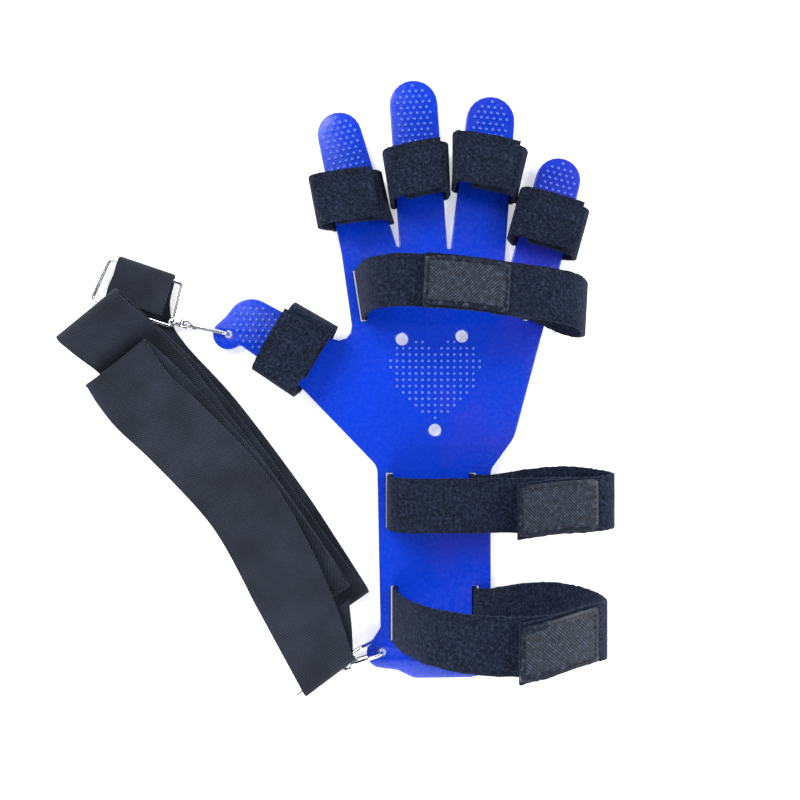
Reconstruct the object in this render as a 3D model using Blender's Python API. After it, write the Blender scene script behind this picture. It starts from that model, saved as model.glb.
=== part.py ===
"""Hand and finger splint: a flat hand board with strap loops, and a folded shoulder webbing on two snap hooks.

Metres, +Z up. +Y points to the fingertips and +X to the little finger's side. The splint lies on z = 0.
The origin is under the middle of the wrist strap, on the surface that the splint lies on.
"""
import math

import bmesh
import bpy
from mathutils import Matrix, Vector

MM = 0.001

# Clearance between pieces that touch
GAP = 0.3 * MM

# Board
BOARD_THICK = 2.8 * MM
PALM_WIDTH = 100 * MM
PALM_LENGTH = 116 * MM
FOREARM_WIDTH = 58.8 * MM
FOREARM_LENGTH = 108.5 * MM
WRIST_Y = 16 * MM
FOREARM_X = 1.8 * MM
FINGER_WIDTH = 25 * MM
FINGER_REACH = 72 * MM
WEB_GAP = 0.9 * MM
TAB_RADIUS = 8 * MM
TAB_HOLE_RADIUS = 2.1 * MM
PALM_HOLE_RADIUS = 3.2 * MM
DOT_RADIUS = 0.75 * MM
DOT_HEIGHT = 0.55 * MM
DOT_PITCH = 3.3 * MM
HEART_WIDTH = 47 * MM

# Loop tape
TAPE_THICK = 2 * MM
FINGER_TAPE = 25 * MM
PALM_TAPE = 25 * MM
CUFF_TAPE = 27 * MM
SLOT_WIDTH = 3.4 * MM
SLOT_PLAY = 0.8 * MM
LOOP_PLAY = 0.6 * MM
PATCH_THICK = 1.4 * MM
PATCH_LENGTH = 40 * MM
PATCH_HEM = 1 * MM

# Shoulder webbing
WEBBING_WIDTH = 37 * MM
WEBBING_THICK = 1.5 * MM
WEBBING_END = 30 * MM
FOLD_PITCH = 6 * MM

# Snap hooks
WIRE_RADIUS = 1 * MM
RING_WIRE_RADIUS = 1.1 * MM
RING_DEPTH = 23 * MM
RING_CORNER = 2.5 * MM
RING_FLARE = 2 * MM
RING_PLAY = 5.2 * MM
THUMB_REACH = 29.5 * MM
EAR_REACH = 26.5 * MM
COLLAR_WIDTH = 4.2 * MM
GATE_WIDTH = 3.4 * MM
GATE_HUB = 1.6 * MM
PIN_RADIUS = 0.6 * MM
PIN_PLAY = 0.25 * MM

BOARD_Z = TAPE_THICK + GAP
BOARD_TOP = BOARD_Z + BOARD_THICK

# Fingers: where each root and each tip centre lies, as shares of the palm's width and length from the wrist,
# the lean and reach of the slat as a share of FINGER_REACH, and its tip width as a share of FINGER_WIDTH
FINGERS = {
    "index": dict(root=(-0.328, 0.998), lean=-14.1, reach=0.843, tip=0.92),
    "middle": dict(root=(-0.044, 1.020), lean=-3.7, reach=1.0, tip=1.0),
    "ring": dict(root=(0.243, 1.003), lean=5.8, reach=0.911, tip=1.01),
    "little": dict(root=(0.545, 0.931), lean=15.4, reach=0.615, tip=0.93),
    "thumb": dict(root=(-0.583, 0.470), lean=-58.6, reach=0.572, tip=1.04),
}
# Webs between neighbouring fingers, as shares of the palm, and their half gaps as shares of WEB_GAP
WEBS = [
    ("index", "middle", (-0.172, 1.008), 0.9),
    ("middle", "ring", (0.094, 0.998), 1.0),
    ("ring", "little", (0.395, 0.904), 1.45),
]
# Finger straps: the loop's place back from the tip centre, the reach of its left and right sides from the slat's
# middle, the slat's half width inside it and its height, as shares of FINGER_WIDTH. Then, in degrees, the slant of
# its edges, the taper of its sides beside the slat, and their taper higher up.
FINGER_LOOPS = {
    "thumb": dict(back=1.09, sides=(0.755, 0.870), slat=0.585, high=0.88, turn=0.5, taper=3.6, flare=(2.0, 1.0)),
    "index": dict(back=1.46, sides=(0.820, 0.634), slat=0.535, high=0.84, turn=-7.0, taper=2.8, flare=(3.0, -3.0)),
    "middle": dict(back=1.54, sides=(0.625, 0.640), slat=0.510, high=0.92, turn=7.0, taper=0.0, flare=(-5.0, -1.0)),
    "ring": dict(back=1.08, sides=(0.670, 0.745), slat=0.545, high=0.90, turn=-6.0, taper=1.2, flare=(-6.0, -9.0)),
    "little": dict(back=1.02, sides=(0.690, 0.765), slat=0.510, high=0.86, turn=-1.0, taper=1.0, flare=(0.0, 0.0)),
}
# Palm holes, as shares of the palm
PALM_HOLES = [(-0.151, 0.586), (0.161, 0.599), (0.021, 0.178)]

# Hand straps. u runs across the hand from the strap's own middle, v along it, and z up. The slots stand at
# shares of the board's width there. The inner run goes from the tape's inner end to the left slot and the
# outer run from the right slot round the bend to the patch: u is a share of the reach, z of the height.
STRAPS = {
    "palm": dict(
        along=("palm", 0.781), width=PALM_TAPE, slots=(-0.369, 0.520), board=PALM_WIDTH, turns=(9.0, -15.0),
        reach=76 * MM, height=46 * MM,
        inner=[(0.60, 0.885, -0.16), (0.30, 0.930, 0.00), (0.00, 0.945, 0.06), (-0.22, 0.905, 0.10),
               (-0.375, 0.760, 0.09), (-0.450, 0.50, 0.03)],
        outer=[(0.735, 0.165, -0.06), (0.80, 0.16, -0.16), (0.880, 0.215, -0.30), (0.955, 0.345, -0.40),
               (0.985, 0.52, -0.42), (0.955, 0.72, -0.36), (0.87, 0.875, -0.27), (0.70, 0.948, -0.18),
               (0.45, 0.992, -0.09), (0.20, 1.008, 0.01), (-0.065, 1.010, 0.07)],
    ),
    "wrist": dict(
        along=("origin", 0.0), width=CUFF_TAPE, slots=(-0.369, 0.369), board=FOREARM_WIDTH, turns=(0.0, 0.0),
        reach=91.3 * MM, height=26.8 * MM,
        inner=[(0.80, 0.885, 0.02), (0.45, 0.895, 0.0), (0.10, 0.925, 0.0), (-0.11, 0.935, 0.0),
               (-0.205, 0.80, 0.0), (-0.238, 0.52, 0.0)],
        outer=[(0.330, 0.262, 0.01), (0.420, 0.14, 0.03), (0.56, 0.056, 0.09),
               (0.72, 0.075, 0.15), (0.87, 0.17, 0.14), (0.97, 0.36, 0.10), (1.0, 0.60, 0.07),
               (0.965, 0.84, 0.055), (0.87, 1.0, 0.04), (0.66, 1.08, 0.00), (0.45, 1.16, -0.08)],
    ),
    "forearm": dict(
        along=("forearm", 0.690), width=CUFF_TAPE, slots=(-0.325, 0.395), board=FOREARM_WIDTH,
        turns=(0.0, 0.0), reach=82.5 * MM, height=63 * MM,
        inner=[(0.80, 0.800, 0.06), (0.62, 0.885, 0.0), (0.40, 0.905, -0.02), (0.16, 0.845, -0.01),
               (-0.03, 0.68, 0.0), (-0.15, 0.46, 0.0), (-0.215, 0.24, 0.0)],
        outer=[(0.375, 0.106, 0.0), (0.47, 0.06, 0.02), (0.62, 0.03, 0.06),
               (0.78, 0.08, 0.10), (0.915, 0.22, 0.10), (0.985, 0.38, 0.08), (1.0, 0.53, 0.07),
               (0.975, 0.67, 0.09), (0.90, 0.79, 0.14), (0.77, 0.885, 0.11), (0.62, 0.955, 0.02),
               (0.45, 0.985, -0.09)],
    ),
}

# Shoulder webbing, from its sewn end round the thumb hook's bar to its tail under the ear hook's bar. Each run
# lies between two folds: shares of the way between the two bars, shares of WEBBING_WIDTH to the outer side, and
# heights as shares of FOLD_PITCH.
WEBBING_RUNS = [
    [(0.064, 0.36, 1.06), (0.034, 0.18, 1.04), (0.0, 0.0, 0.99)],
    [(0.0, 0.0, 0.21), (0.048, 0.29, 0.13), (0.125, 0.50, 0.13), (0.214, 0.45, 0.13), (0.384, 0.15, 0.13),
     (0.629, -0.140, 0.13), (0.792, -0.270, 0.13), (0.900, -0.345, 0.13)],
    [(0.900, -0.345, 1.08), (0.762, -0.181, 1.08), (0.566, 0.019, 1.08), (0.396, 0.214, 1.08), (0.270, 0.40, 1.08),
     (0.195, 0.55, 1.5), (0.130, 0.66, 3.0), (0.080, 0.74, 4.7)],
    [(0.080, 0.74, 5.8), (0.110, 0.70, 4.6), (0.142, 0.65, 3.2), (0.178, 0.60, 2.3), (0.220, 0.53, 2.08),
     (0.300, 0.40, 2.08), (0.592, 0.058, 2.08), (0.789, -0.127, 2.08), (0.855, -0.187, 2.08)],
    [(0.855, -0.187, 3.08), (0.745, -0.110, 3.08), (0.555, 0.085, 3.08), (0.385, 0.36, 3.08), (0.270, 0.58, 3.08),
     (0.195, 0.76, 3.10)],
    [(0.195, 0.76, 4.1), (0.235, 0.735, 4.1), (0.290, 0.66, 4.1), (0.380, 0.45, 4.1), (0.523, 0.17, 4.1),
     (0.620, 0.05, 4.1), (0.744, 0.01, 4.15), (0.90, 0.0, 4.5), (1.0, 0.0, 4.66)],
    [(1.0, 0.0, 3.90), (0.950, -0.12, 3.85), (0.895, -0.24, 3.80)],
]

COLOURS = {
    "blue plastic": ((0.01, 0.07, 0.85, 1), 0.28, 0.0),
    "loop tape": ((0.012, 0.012, 0.016, 1), 0.95, 0.0),
    "hook tape": ((0.02, 0.022, 0.028, 1), 0.4, 0.0),
    "webbing": ((0.02, 0.023, 0.035, 1), 0.75, 0.0),
    "chrome": ((0.85, 0.86, 0.88, 1), 0.12, 1.0),
}


def clear_scene():
    """Remove what the start-up file holds."""
    for thing in list(bpy.data.objects):
        bpy.data.objects.remove(thing, do_unlink=True)


def material(name):
    """The named colour as a Principled material."""
    made = bpy.data.materials.get(name)
    if made:
        return made
    colour, roughness, metallic = COLOURS[name]
    made = bpy.data.materials.new(name)
    made.use_nodes = True
    shader = made.node_tree.nodes["Principled BSDF"]
    shader.inputs["Base Color"].default_value = colour
    shader.inputs["Roughness"].default_value = roughness
    shader.inputs["Metallic"].default_value = metallic
    made.diffuse_color = colour
    return made


def add_object(name, mesh_data, colour=None):
    """Turn a bmesh into a named object with its faces pointing out."""
    bmesh.ops.recalc_face_normals(mesh_data, faces=mesh_data.faces)
    mesh = bpy.data.meshes.new(name)
    mesh_data.to_mesh(mesh)
    mesh_data.free()
    thing = bpy.data.objects.new(name, mesh)
    bpy.context.scene.collection.objects.link(thing)
    if colour:
        mesh.materials.append(material(colour))
    else:
        thing.hide_render = True
        thing.display_type = "WIRE"
    return thing


def boolean(thing, other, operation):
    """Cut or join a guide object."""
    step = thing.modifiers.new(other.name, "BOOLEAN")
    step.operation = operation
    step.solver = "EXACT"
    step.object = other


def smooth(points, steps):
    """Points along a smooth curve through the given ones, with as many steps between each two."""
    points = [Vector(p) for p in points]
    ends = [2 * points[0] - points[1]] + points + [2 * points[-1] - points[-2]]
    curve = []
    for i in range(1, len(ends) - 2):
        a, b, c, d = ends[i - 1:i + 3]
        for k in range(steps):
            t = k / steps
            curve.append(0.5 * ((2 * b) + (c - a) * t + (2 * a - 5 * b + 4 * c - d) * t ** 2
                                + (3 * b - a - 3 * c + d) * t ** 3))
    curve.append(points[-1])
    return curve


def tangents(points):
    """The direction of the curve at each point."""
    last = len(points) - 1
    return [(points[min(i + 1, last)] - points[max(i - 1, 0)]).normalized() for i in range(last + 1)]


def ribbon(name, centres, acrosses, widths, thick, colour):
    """A flat band: a thin rectangle carried along its centre line, with its width along each across direction."""
    made = bmesh.new()
    rings = []
    for centre, run, side, width in zip(centres, tangents(centres), acrosses, widths):
        up = run.cross(side).normalized()
        corners = [(-1, -1), (1, -1), (1, 1), (-1, 1)]
        rings.append([made.verts.new(centre + side * (width / 2 * i) + up * (thick / 2 * j)) for i, j in corners])
    for near, far in zip(rings, rings[1:]):
        for k in range(4):
            made.faces.new((near[k], near[(k + 1) % 4], far[(k + 1) % 4], far[k]))
    made.faces.new(rings[0])
    made.faces.new(rings[-1])
    return add_object(name, made, colour)


def palm_point(x, y):
    """A place on the palm, from shares of its width and length."""
    return Vector((x * PALM_WIDTH, WRIST_Y + y * PALM_LENGTH, 0))


def forearm_point(x, y):
    """A place on the forearm, from shares of its half width and its length from the wrist."""
    return Vector((FOREARM_X + x * FOREARM_WIDTH / 2, WRIST_Y - y * FOREARM_LENGTH, 0))


def finger(name):
    """A finger slat's tip centre, its direction, the direction to its right, and its tip radius."""
    row = FINGERS[name]
    lean = math.radians(row["lean"])
    along = Vector((math.sin(lean), math.cos(lean), 0))
    right = Vector((along.y, -along.x, 0))
    root = palm_point(*row["root"])
    return root + along * (row["reach"] * FINGER_REACH), along, right, row["tip"] * FINGER_WIDTH / 2


def thumb_hole():
    """The hole in the tab on the thumb's tip."""
    tip, along, right, radius = finger("thumb")
    return tip + along * (0.58 * radius) - right * (0.84 * radius)


def ear_hole():
    """The hole in the ear at the board's lower left corner."""
    return forearm_point(-1, 0.878) + Vector((0.26 * TAB_RADIUS, 0, 0))


def arc(centre, radius, start, end, steps):
    """Points on an arc, with its angles in degrees."""
    turn = [math.radians(start + (end - start) * k / steps) for k in range(steps + 1)]
    return [centre + Vector((math.cos(a), math.sin(a), 0)) * radius for a in turn]


def corner(before, point, after, radius, steps=4):
    """A rounded corner between two straight edges."""
    back = (before - point).normalized()
    on = (after - point).normalized()
    half = back.angle(on) / 2
    reach = min(radius / math.tan(half), 0.45 * (before - point).length, 0.45 * (after - point).length)
    centre = point + (back + on).normalized() * (reach / math.cos(half))
    start = point + back * reach - centre
    sweep = start.angle(point + on * reach - centre)
    turn = math.copysign(sweep, start.cross(point + on * reach - centre).z)
    return [centre + Matrix.Rotation(turn * k / steps, 3, "Z") @ start for k in range(steps + 1)]


def board_outline():
    """The board's outline, clockwise from the web between thumb and index finger."""
    hole = thumb_hole()
    ear = ear_hole()
    items = [("corner", palm_point(-0.393, 0.532), 6.9 * MM)]
    for name in ("index", "middle", "ring", "little"):
        tip, along, right, radius = finger(name)
        facing = math.degrees(math.atan2(along.y, along.x))
        if name == "index":
            items.append(("corner", palm_point(-0.466, 0.97), 30 * MM))
        items.append(("points", arc(tip, radius, facing + 90, facing - 90, 12)))
        for left, _, place, share in WEBS:
            if left == name:
                items.append(("points", arc(palm_point(*place), share * WEB_GAP, 180, 360, 4)))
    items += [
        ("corner", palm_point(0.671, 0.905), 40 * MM),
        ("corner", palm_point(0.570, 0.590), 60 * MM),
        ("corner", palm_point(0.435, 0.145), 20 * MM),
        ("corner", forearm_point(1, 0.0), 6 * MM),
        ("corner", forearm_point(1, 0.995), 11 * MM),
        ("corner", forearm_point(-0.36, 1.0), 9 * MM),
        ("corner", forearm_point(-0.66, 0.960), 6 * MM),
        ("points", arc(ear, TAB_RADIUS, 270, 128, 9)),
        ("corner", forearm_point(-0.955, 0.758), 4 * MM),
        ("corner", forearm_point(-1.015, -0.016), 8 * MM),
        ("corner", palm_point(-0.67, 0.364), 30 * MM),
    ]
    tip, along, right, radius = finger("thumb")
    facing = math.degrees(math.atan2(along.y, along.x))
    items += [
        ("corner", tip - right * (0.96 * radius) - along * (0.05 * radius), 2 * MM),
        ("points", arc(hole, TAB_RADIUS, facing + 148, facing + 2, 9)),
        ("corner", tip + along * (1.03 * radius) - right * (0.26 * radius), 3 * MM),
        ("points", arc(tip, radius, facing - 15, facing - 90, 7)),
    ]
    outline = []
    anchors = [item[1] if item[0] == "corner" else item[1][0] for item in items]
    ends = [item[1] if item[0] == "corner" else item[1][-1] for item in items]
    for i, item in enumerate(items):
        if item[0] == "points":
            outline += item[1]
        else:
            outline += corner(ends[i - 1], item[1], anchors[(i + 1) % len(items)], item[2])
    return outline


def prism(outline, low, high):
    """A plate: an outline extruded between two heights."""
    made = bmesh.new()
    base = made.faces.new([made.verts.new((p.x, p.y, low)) for p in outline])
    raised = bmesh.ops.extrude_face_region(made, geom=[base])["geom"]
    bmesh.ops.translate(made, vec=(0, 0, high - low), verts=[v for v in raised if isinstance(v, bmesh.types.BMVert)])
    return made


def slot_outline(place, turn, length):
    """A slot for tape: a narrow rectangle whose long way runs along the hand, turned about its middle."""
    half = Vector((SLOT_WIDTH / 2, length / 2 + SLOT_PLAY, 0))
    turned = Matrix.Rotation(math.radians(turn), 3, "Z")
    return [place + turned @ Vector((half.x * i, half.y * j, 0)) for i, j in ((-1, -1), (1, -1), (1, 1), (-1, 1))]


def strap_middle(row):
    """The middle of a hand strap on the board."""
    zone, share = row["along"]
    if zone == "palm":
        return Vector((0, palm_point(0, share).y, 0))
    if zone == "forearm":
        return Vector((0, forearm_point(0, share).y, 0))
    return Vector((0, 0, 0))


def heart_dots():
    """A square grid of dots inside a heart on the palm."""
    middle = palm_point(0.021, 0.375)
    scale = HEART_WIDTH / 2.28
    count = int(HEART_WIDTH / DOT_PITCH)
    places = []
    for i in range(-count, count + 1):
        for j in range(-count, count + 1):
            at = Vector((i * DOT_PITCH, j * DOT_PITCH, 0))
            x, y = at.x / scale, at.y / (0.94 * scale)
            if (x * x + y * y - 1) ** 3 - x * x * y ** 3 <= 0:
                places.append(middle + at)
    return places


def finger_dots(name):
    """Staggered rows of dots on a fingertip, down to the strap."""
    tip, along, right, radius = finger(name)
    inset = radius - 2.2 * DOT_RADIUS - 0.4 * DOT_PITCH
    stop = FINGER_LOOPS[name]["back"] * FINGER_WIDTH - FINGER_TAPE / 2 - DOT_PITCH
    row_pitch = 0.87 * DOT_PITCH
    places = []
    for row in range(int((inset + stop) / row_pitch) + 1):
        back = row * row_pitch - inset
        half = inset if back > 0 else math.sqrt(max(inset ** 2 - back ** 2, 0))
        shift = 0.5 * DOT_PITCH if row % 2 else 0
        for k in range(-4, 5):
            aside = k * DOT_PITCH + shift
            if abs(aside) <= half:
                places.append(tip - along * back + right * aside)
    return places


def hand_board():
    """The board with its tape slots, holes and raised dots."""
    board = add_object("hand_board", prism(board_outline(), BOARD_Z, BOARD_TOP), "blue plastic")
    cuts = []
    for row in STRAPS.values():
        for share, turn in zip(row["slots"], row["turns"]):
            place = strap_middle(row) + Vector((share * row["board"], 0, 0))
            cuts.append(slot_outline(place, turn, row["width"]))
    for place in PALM_HOLES:
        cuts.append(arc(palm_point(*place), PALM_HOLE_RADIUS, 0, 345, 23))
    for place in (thumb_hole(), ear_hole()):
        cuts.append(arc(place, TAB_HOLE_RADIUS, 0, 337.5, 15))
    cutter = bmesh.new()
    for outline in cuts:
        part = bpy.data.meshes.new("cut")
        shape = prism(outline, BOARD_Z - BOARD_THICK, BOARD_TOP + BOARD_THICK)
        shape.to_mesh(part)
        shape.free()
        cutter.from_mesh(part)
        bpy.data.meshes.remove(part)
    boolean(board, add_object("board_cuts", cutter), "DIFFERENCE")
    holes = [palm_point(*place) for place in PALM_HOLES]
    places = heart_dots()
    for name in FINGERS:
        places += finger_dots(name)
    keep = PALM_HOLE_RADIUS + 2 * DOT_RADIUS
    places = [p for p in places if all((p - hole).length > keep for hole in holes)]
    keep = TAB_HOLE_RADIUS + 2 * DOT_RADIUS
    places = [p for p in places if (p - thumb_hole()).length > keep]
    dots = bmesh.new()
    sunk = 0.2 * DOT_HEIGHT
    for place in places:
        move = Matrix.Translation(place + Vector((0, 0, BOARD_TOP + (DOT_HEIGHT - sunk) / 2)))
        bmesh.ops.create_cone(dots, cap_ends=True, segments=5, radius1=1.2 * DOT_RADIUS, radius2=0,
                              depth=DOT_HEIGHT + sunk, matrix=move)
    boolean(board, add_object("board_dots", dots), "UNION")


def strap_path(row):
    """A hand strap's centre line and across directions, from its inner end to its outer end."""
    reach, height, width = row["reach"], row["height"], row["width"]
    left, right = [share * row["board"] for share in row["slots"]]
    turns = row["turns"]
    low = TAPE_THICK / 2
    bend = 0.6 * TAPE_THICK
    roll = 0.95 * TAPE_THICK
    inner = [Vector((u * reach, v * width, z * height)) for u, z, v in row["inner"]]
    outer = [Vector((u * reach, v * width, z * height)) for u, z, v in row["outer"]]
    path = []
    curve = smooth(inner + [Vector((left, 0, BOARD_TOP))], 3)
    for k, point in enumerate(curve):
        path.append((point, turns[0] * max(0, 2 * k / (len(curve) - 1) - 1)))
    for u, z, turn in ((left, low + bend, 0), (left + bend, low, 0), (right - bend, low, 1), (right, low + bend, 1),
                       (right, BOARD_TOP - 0.2 * roll, 1), (right + 0.3 * roll, BOARD_TOP + 0.5 * roll, 1)):
        path.append((Vector((u, 0, z)), turns[turn]))
    curve = smooth([Vector((right + roll, 0, BOARD_TOP + 0.78 * roll))] + outer, 3)
    for k, point in enumerate(curve):
        path.append((point, turns[1] * max(0.2, 1 - 2 * k / (len(curve) - 1))))
    middle = strap_middle(row)
    centres = [middle + point for point, _ in path]
    acrosses = [Matrix.Rotation(math.radians(turn), 3, "Z") @ Vector((0, 1, 0)) for _, turn in path]
    return centres, acrosses


def patch_path(centres, acrosses):
    """The centre line of the patch on a strap's outer end, above the tape."""
    rise = TAPE_THICK / 2 + GAP + PATCH_THICK / 2
    raised = []
    for centre, run, across in zip(centres, tangents(centres), acrosses):
        up = run.cross(across).normalized()
        raised.append(centre + up * math.copysign(rise, up.z))
    raised.reverse()
    path, ways, run = [raised[0]], [acrosses[-1]], 0
    for k in range(1, len(raised)):
        step = (raised[k] - raised[k - 1]).length
        if run + step >= PATCH_LENGTH:
            path.append(raised[k - 1].lerp(raised[k], (PATCH_LENGTH - run) / step))
            ways.append(acrosses[-1 - k])
            break
        run += step
        path.append(raised[k])
        ways.append(acrosses[-1 - k])
    return path, ways


def hand_strap(name):
    """A hand strap through its two slots, and the hook patch on its outer end."""
    row = STRAPS[name]
    centres, acrosses = strap_path(row)
    ribbon(name + "_strap", centres, acrosses, [row["width"]] * len(centres), TAPE_THICK, "loop tape")
    path, ways = patch_path(centres, acrosses)
    ribbon(name + "_patch", path, ways, [row["width"] - 2 * PATCH_HEM] * len(path), PATCH_THICK, "hook tape")


def finger_strap(name):
    """A finger strap: tape wound once and a half round its slat, the outer layer over the inner one."""
    tip, along, right, radius = finger(name)
    row = FINGER_LOOPS[name]
    left_side, right_side = row["sides"]
    across = (right_side - left_side) / 2 * FINGER_WIDTH
    middle = tip - along * (row["back"] * FINGER_WIDTH) + right * across
    slant = math.tan(math.radians(row["turn"]))
    slat = row["slat"] * FINGER_WIDTH + GAP + TAPE_THICK / 2
    wide = (left_side + right_side) / 2 * FINGER_WIDTH - TAPE_THICK / 2
    low = TAPE_THICK / 2
    high = row["high"] * FINGER_WIDTH - 1.5 * TAPE_THICK - GAP
    rise = high - low
    layer = TAPE_THICK + GAP
    crown = 0.04 * FINGER_WIDTH

    def side(sign, extra):
        """One side from the under-run up to the top, with the outer layer's growth."""
        near = min(slat - sign * across, wide)
        shape = [(near - 0.95 * TAPE_THICK, 0.0, 0.0), (near - 0.3 * TAPE_THICK, 0.013, 0.0), (near, 0.085, 0.0),
                 (near + 0.7 * (wide - near), 0.28, 0.15), (wide, 0.50, 0.45), (wide - 0.06 * wide, 0.76, 0.85),
                 (wide - 0.17 * wide, 0.93, 1.0), (wide - 0.36 * wide, 1.0, 1.0)]
        return [(sign * (u + extra * g), low + rise * z + extra * g) for u, z, g in shape]

    edge = 0.64 * wide
    inner_top = [(u * edge, high + crown * (1 - u * u)) for u in (-0.85, -0.4, 0.0, 0.4)]
    outer_top = [(u * edge, high + layer + crown * (1 - u * u)) for u in (-0.5, 0.0, 0.5, 1.0, 1.15)]
    profile = inner_top + side(1, 0)[::-1] + side(-1, layer) + outer_top
    centres, acrosses = [], []
    for k, (u, z) in enumerate(profile):
        shift = 0.07 * FINGER_TAPE * (k / (len(profile) - 1) - 0.5)
        centres.append(middle + right * u + along * (u * slant + shift) + Vector((0, 0, z)))
        raised = min(1, max(0, z - BOARD_TOP) / (0.35 * rise))
        taper = row["taper"] + (row["flare"][u > 0] - row["taper"]) * raised
        acrosses.append(Matrix.Rotation(math.radians(taper * u / wide), 3, "Z") @ along)
    ribbon(name + "_strap", centres, acrosses, [FINGER_TAPE] * len(centres), TAPE_THICK, "loop tape")


def tube(made, points, radius, sides=6):
    """A round wire along a curve, closed at both ends, or joined into a loop if the ends meet."""
    loop = (points[0] - points[-1]).length < 1e-9
    if loop:
        points = points[:-1]
    count = len(points)
    rings = []
    upright = None
    for i, point in enumerate(points):
        ahead = points[(i + 1) % count] if loop else points[min(i + 1, count - 1)]
        behind = points[i - 1] if loop else points[max(i - 1, 0)]
        run = (ahead - behind).normalized()
        if upright is None:
            upright = run.orthogonal().normalized()
        upright = (upright - run * upright.dot(run)).normalized()
        aside = run.cross(upright)
        angles = [2 * math.pi * (k + 0.5) / sides for k in range(sides)]
        rings.append([made.verts.new(point + (upright * math.cos(a) + aside * math.sin(a)) * radius) for a in angles])
    pairs = list(zip(rings, rings[1:]))
    if loop:
        pairs.append((rings[-1], rings[0]))
    for near, far in pairs:
        best = 0
        if far is rings[0]:
            best = min(range(sides), key=lambda k: (near[0].co - far[k].co).length)
        for k in range(sides):
            nxt = (k + 1) % sides
            made.faces.new((near[k], near[nxt], far[(nxt + best) % sides], far[(k + best) % sides]))
    if not loop:
        made.faces.new(rings[0])
        made.faces.new(rings[-1])


def block(made, low, high):
    """A box between two corners."""
    low, high = Vector(low), Vector(high)
    size = Matrix.Diagonal((*(high - low), 1))
    bmesh.ops.create_cube(made, size=1, matrix=Matrix.Translation((low + high) / 2) @ size)


def rod(made, start, end, radius, sides=12):
    """A straight round bar."""
    start, end = Vector(start), Vector(end)
    turn = (end - start).to_track_quat("Z", "Y").to_matrix().to_4x4()
    bmesh.ops.create_cone(made, cap_ends=True, segments=sides, radius1=radius, radius2=radius,
                          depth=(end - start).length, matrix=Matrix.Translation((start + end) / 2) @ turn)


# Heights and places in the hook's own frame: a runs from the eye to the hole, b across, z up from the surface
LIMB_Z = WIRE_RADIUS + 0.05 * MM
NOSE_Z = BOARD_TOP + GAP + WIRE_RADIUS + 1.1 * MM
EYE_Z = 4.1 * MM
EYE_RADIUS = 2.3 * MM
RING_Z = 3.5 * MM
COLLAR_START = 4 * MM
COLLAR_END = 9.5 * MM
PIN_A = 7.9 * MM
PIN_Z = NOSE_Z - 0.9 * MM
NOSE_A = 12 * MM
GATE_END = 13.6 * MM
GATE_THICK = 1.2 * MM
# The hooks' turns on the surface, in degrees, and the half width of a ring's bar, clear of the webbing's edges
THUMB_HOOK_TURN = -13
EAR_HOOK_TURN = 18.5
RING_HALF = WEBBING_END / 2 + RING_PLAY


def ring_loop(centre, along, back):
    """The wire loop that the webbing goes through: a trapezium with rounded corners. Its bar's middle is centre."""
    far = RING_HALF + RING_FLARE
    corners = [centre - along * RING_HALF, centre + along * RING_HALF,
               centre + along * far + back * RING_DEPTH, centre - along * far + back * RING_DEPTH]
    points = []
    for i, point in enumerate(corners):
        before, after = corners[i - 1], corners[(i + 1) % 4]
        to_before, to_after = (before - point).normalized(), (after - point).normalized()
        for k in range(5):
            t = k / 4
            start, end = point + to_before * RING_CORNER, point + to_after * RING_CORNER
            points.append(start * (1 - t) ** 2 + point * (2 * t * (1 - t)) + end * t ** 2)
    return points + [points[0]]


def hook_frame(hole, eye_turn, reach):
    """The hook's own frame in the world: its origin lies under the eye, on the surface."""
    turned = Matrix.Rotation(math.radians(eye_turn), 4, "Z")
    origin = hole - turned @ Vector((reach, 0, 0))
    return Matrix.Translation(origin) @ turned


def hook_wire(reach):
    """The bent wire: from the collar under the tab, up through its hole and back over it to the nose."""
    rise, fall = 1.6 * MM, 2.2 * MM
    points = [Vector((COLLAR_START + 1.5 * MM, 0, LIMB_Z))]
    for k in range(4):
        a = math.radians(90 * k / 3)
        points.append(Vector((reach - rise + rise * math.sin(a), 0, LIMB_Z + rise - rise * math.cos(a))))
    for k in range(5):
        a = math.radians(90 * k / 4)
        points.append(Vector((reach - fall + fall * math.cos(a), 0, NOSE_Z - fall + fall * math.sin(a))))
    points.append(Vector((NOSE_A, 0, NOSE_Z)))
    return points


def joined(name, parts, cuts, matrix, colour):
    """One solid from overlapping shapes less the cuts, placed by a matrix."""
    base = add_object(name, parts[0], colour)
    base.matrix_world = matrix
    for k, shape in enumerate(parts[1:]):
        guide = add_object("%s_part_%d" % (name, k), shape)
        guide.matrix_world = matrix
        boolean(base, guide, "UNION")
    for k, shape in enumerate(cuts):
        guide = add_object("%s_cut_%d" % (name, k), shape)
        guide.matrix_world = matrix
        boolean(base, guide, "DIFFERENCE")
    return base


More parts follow.
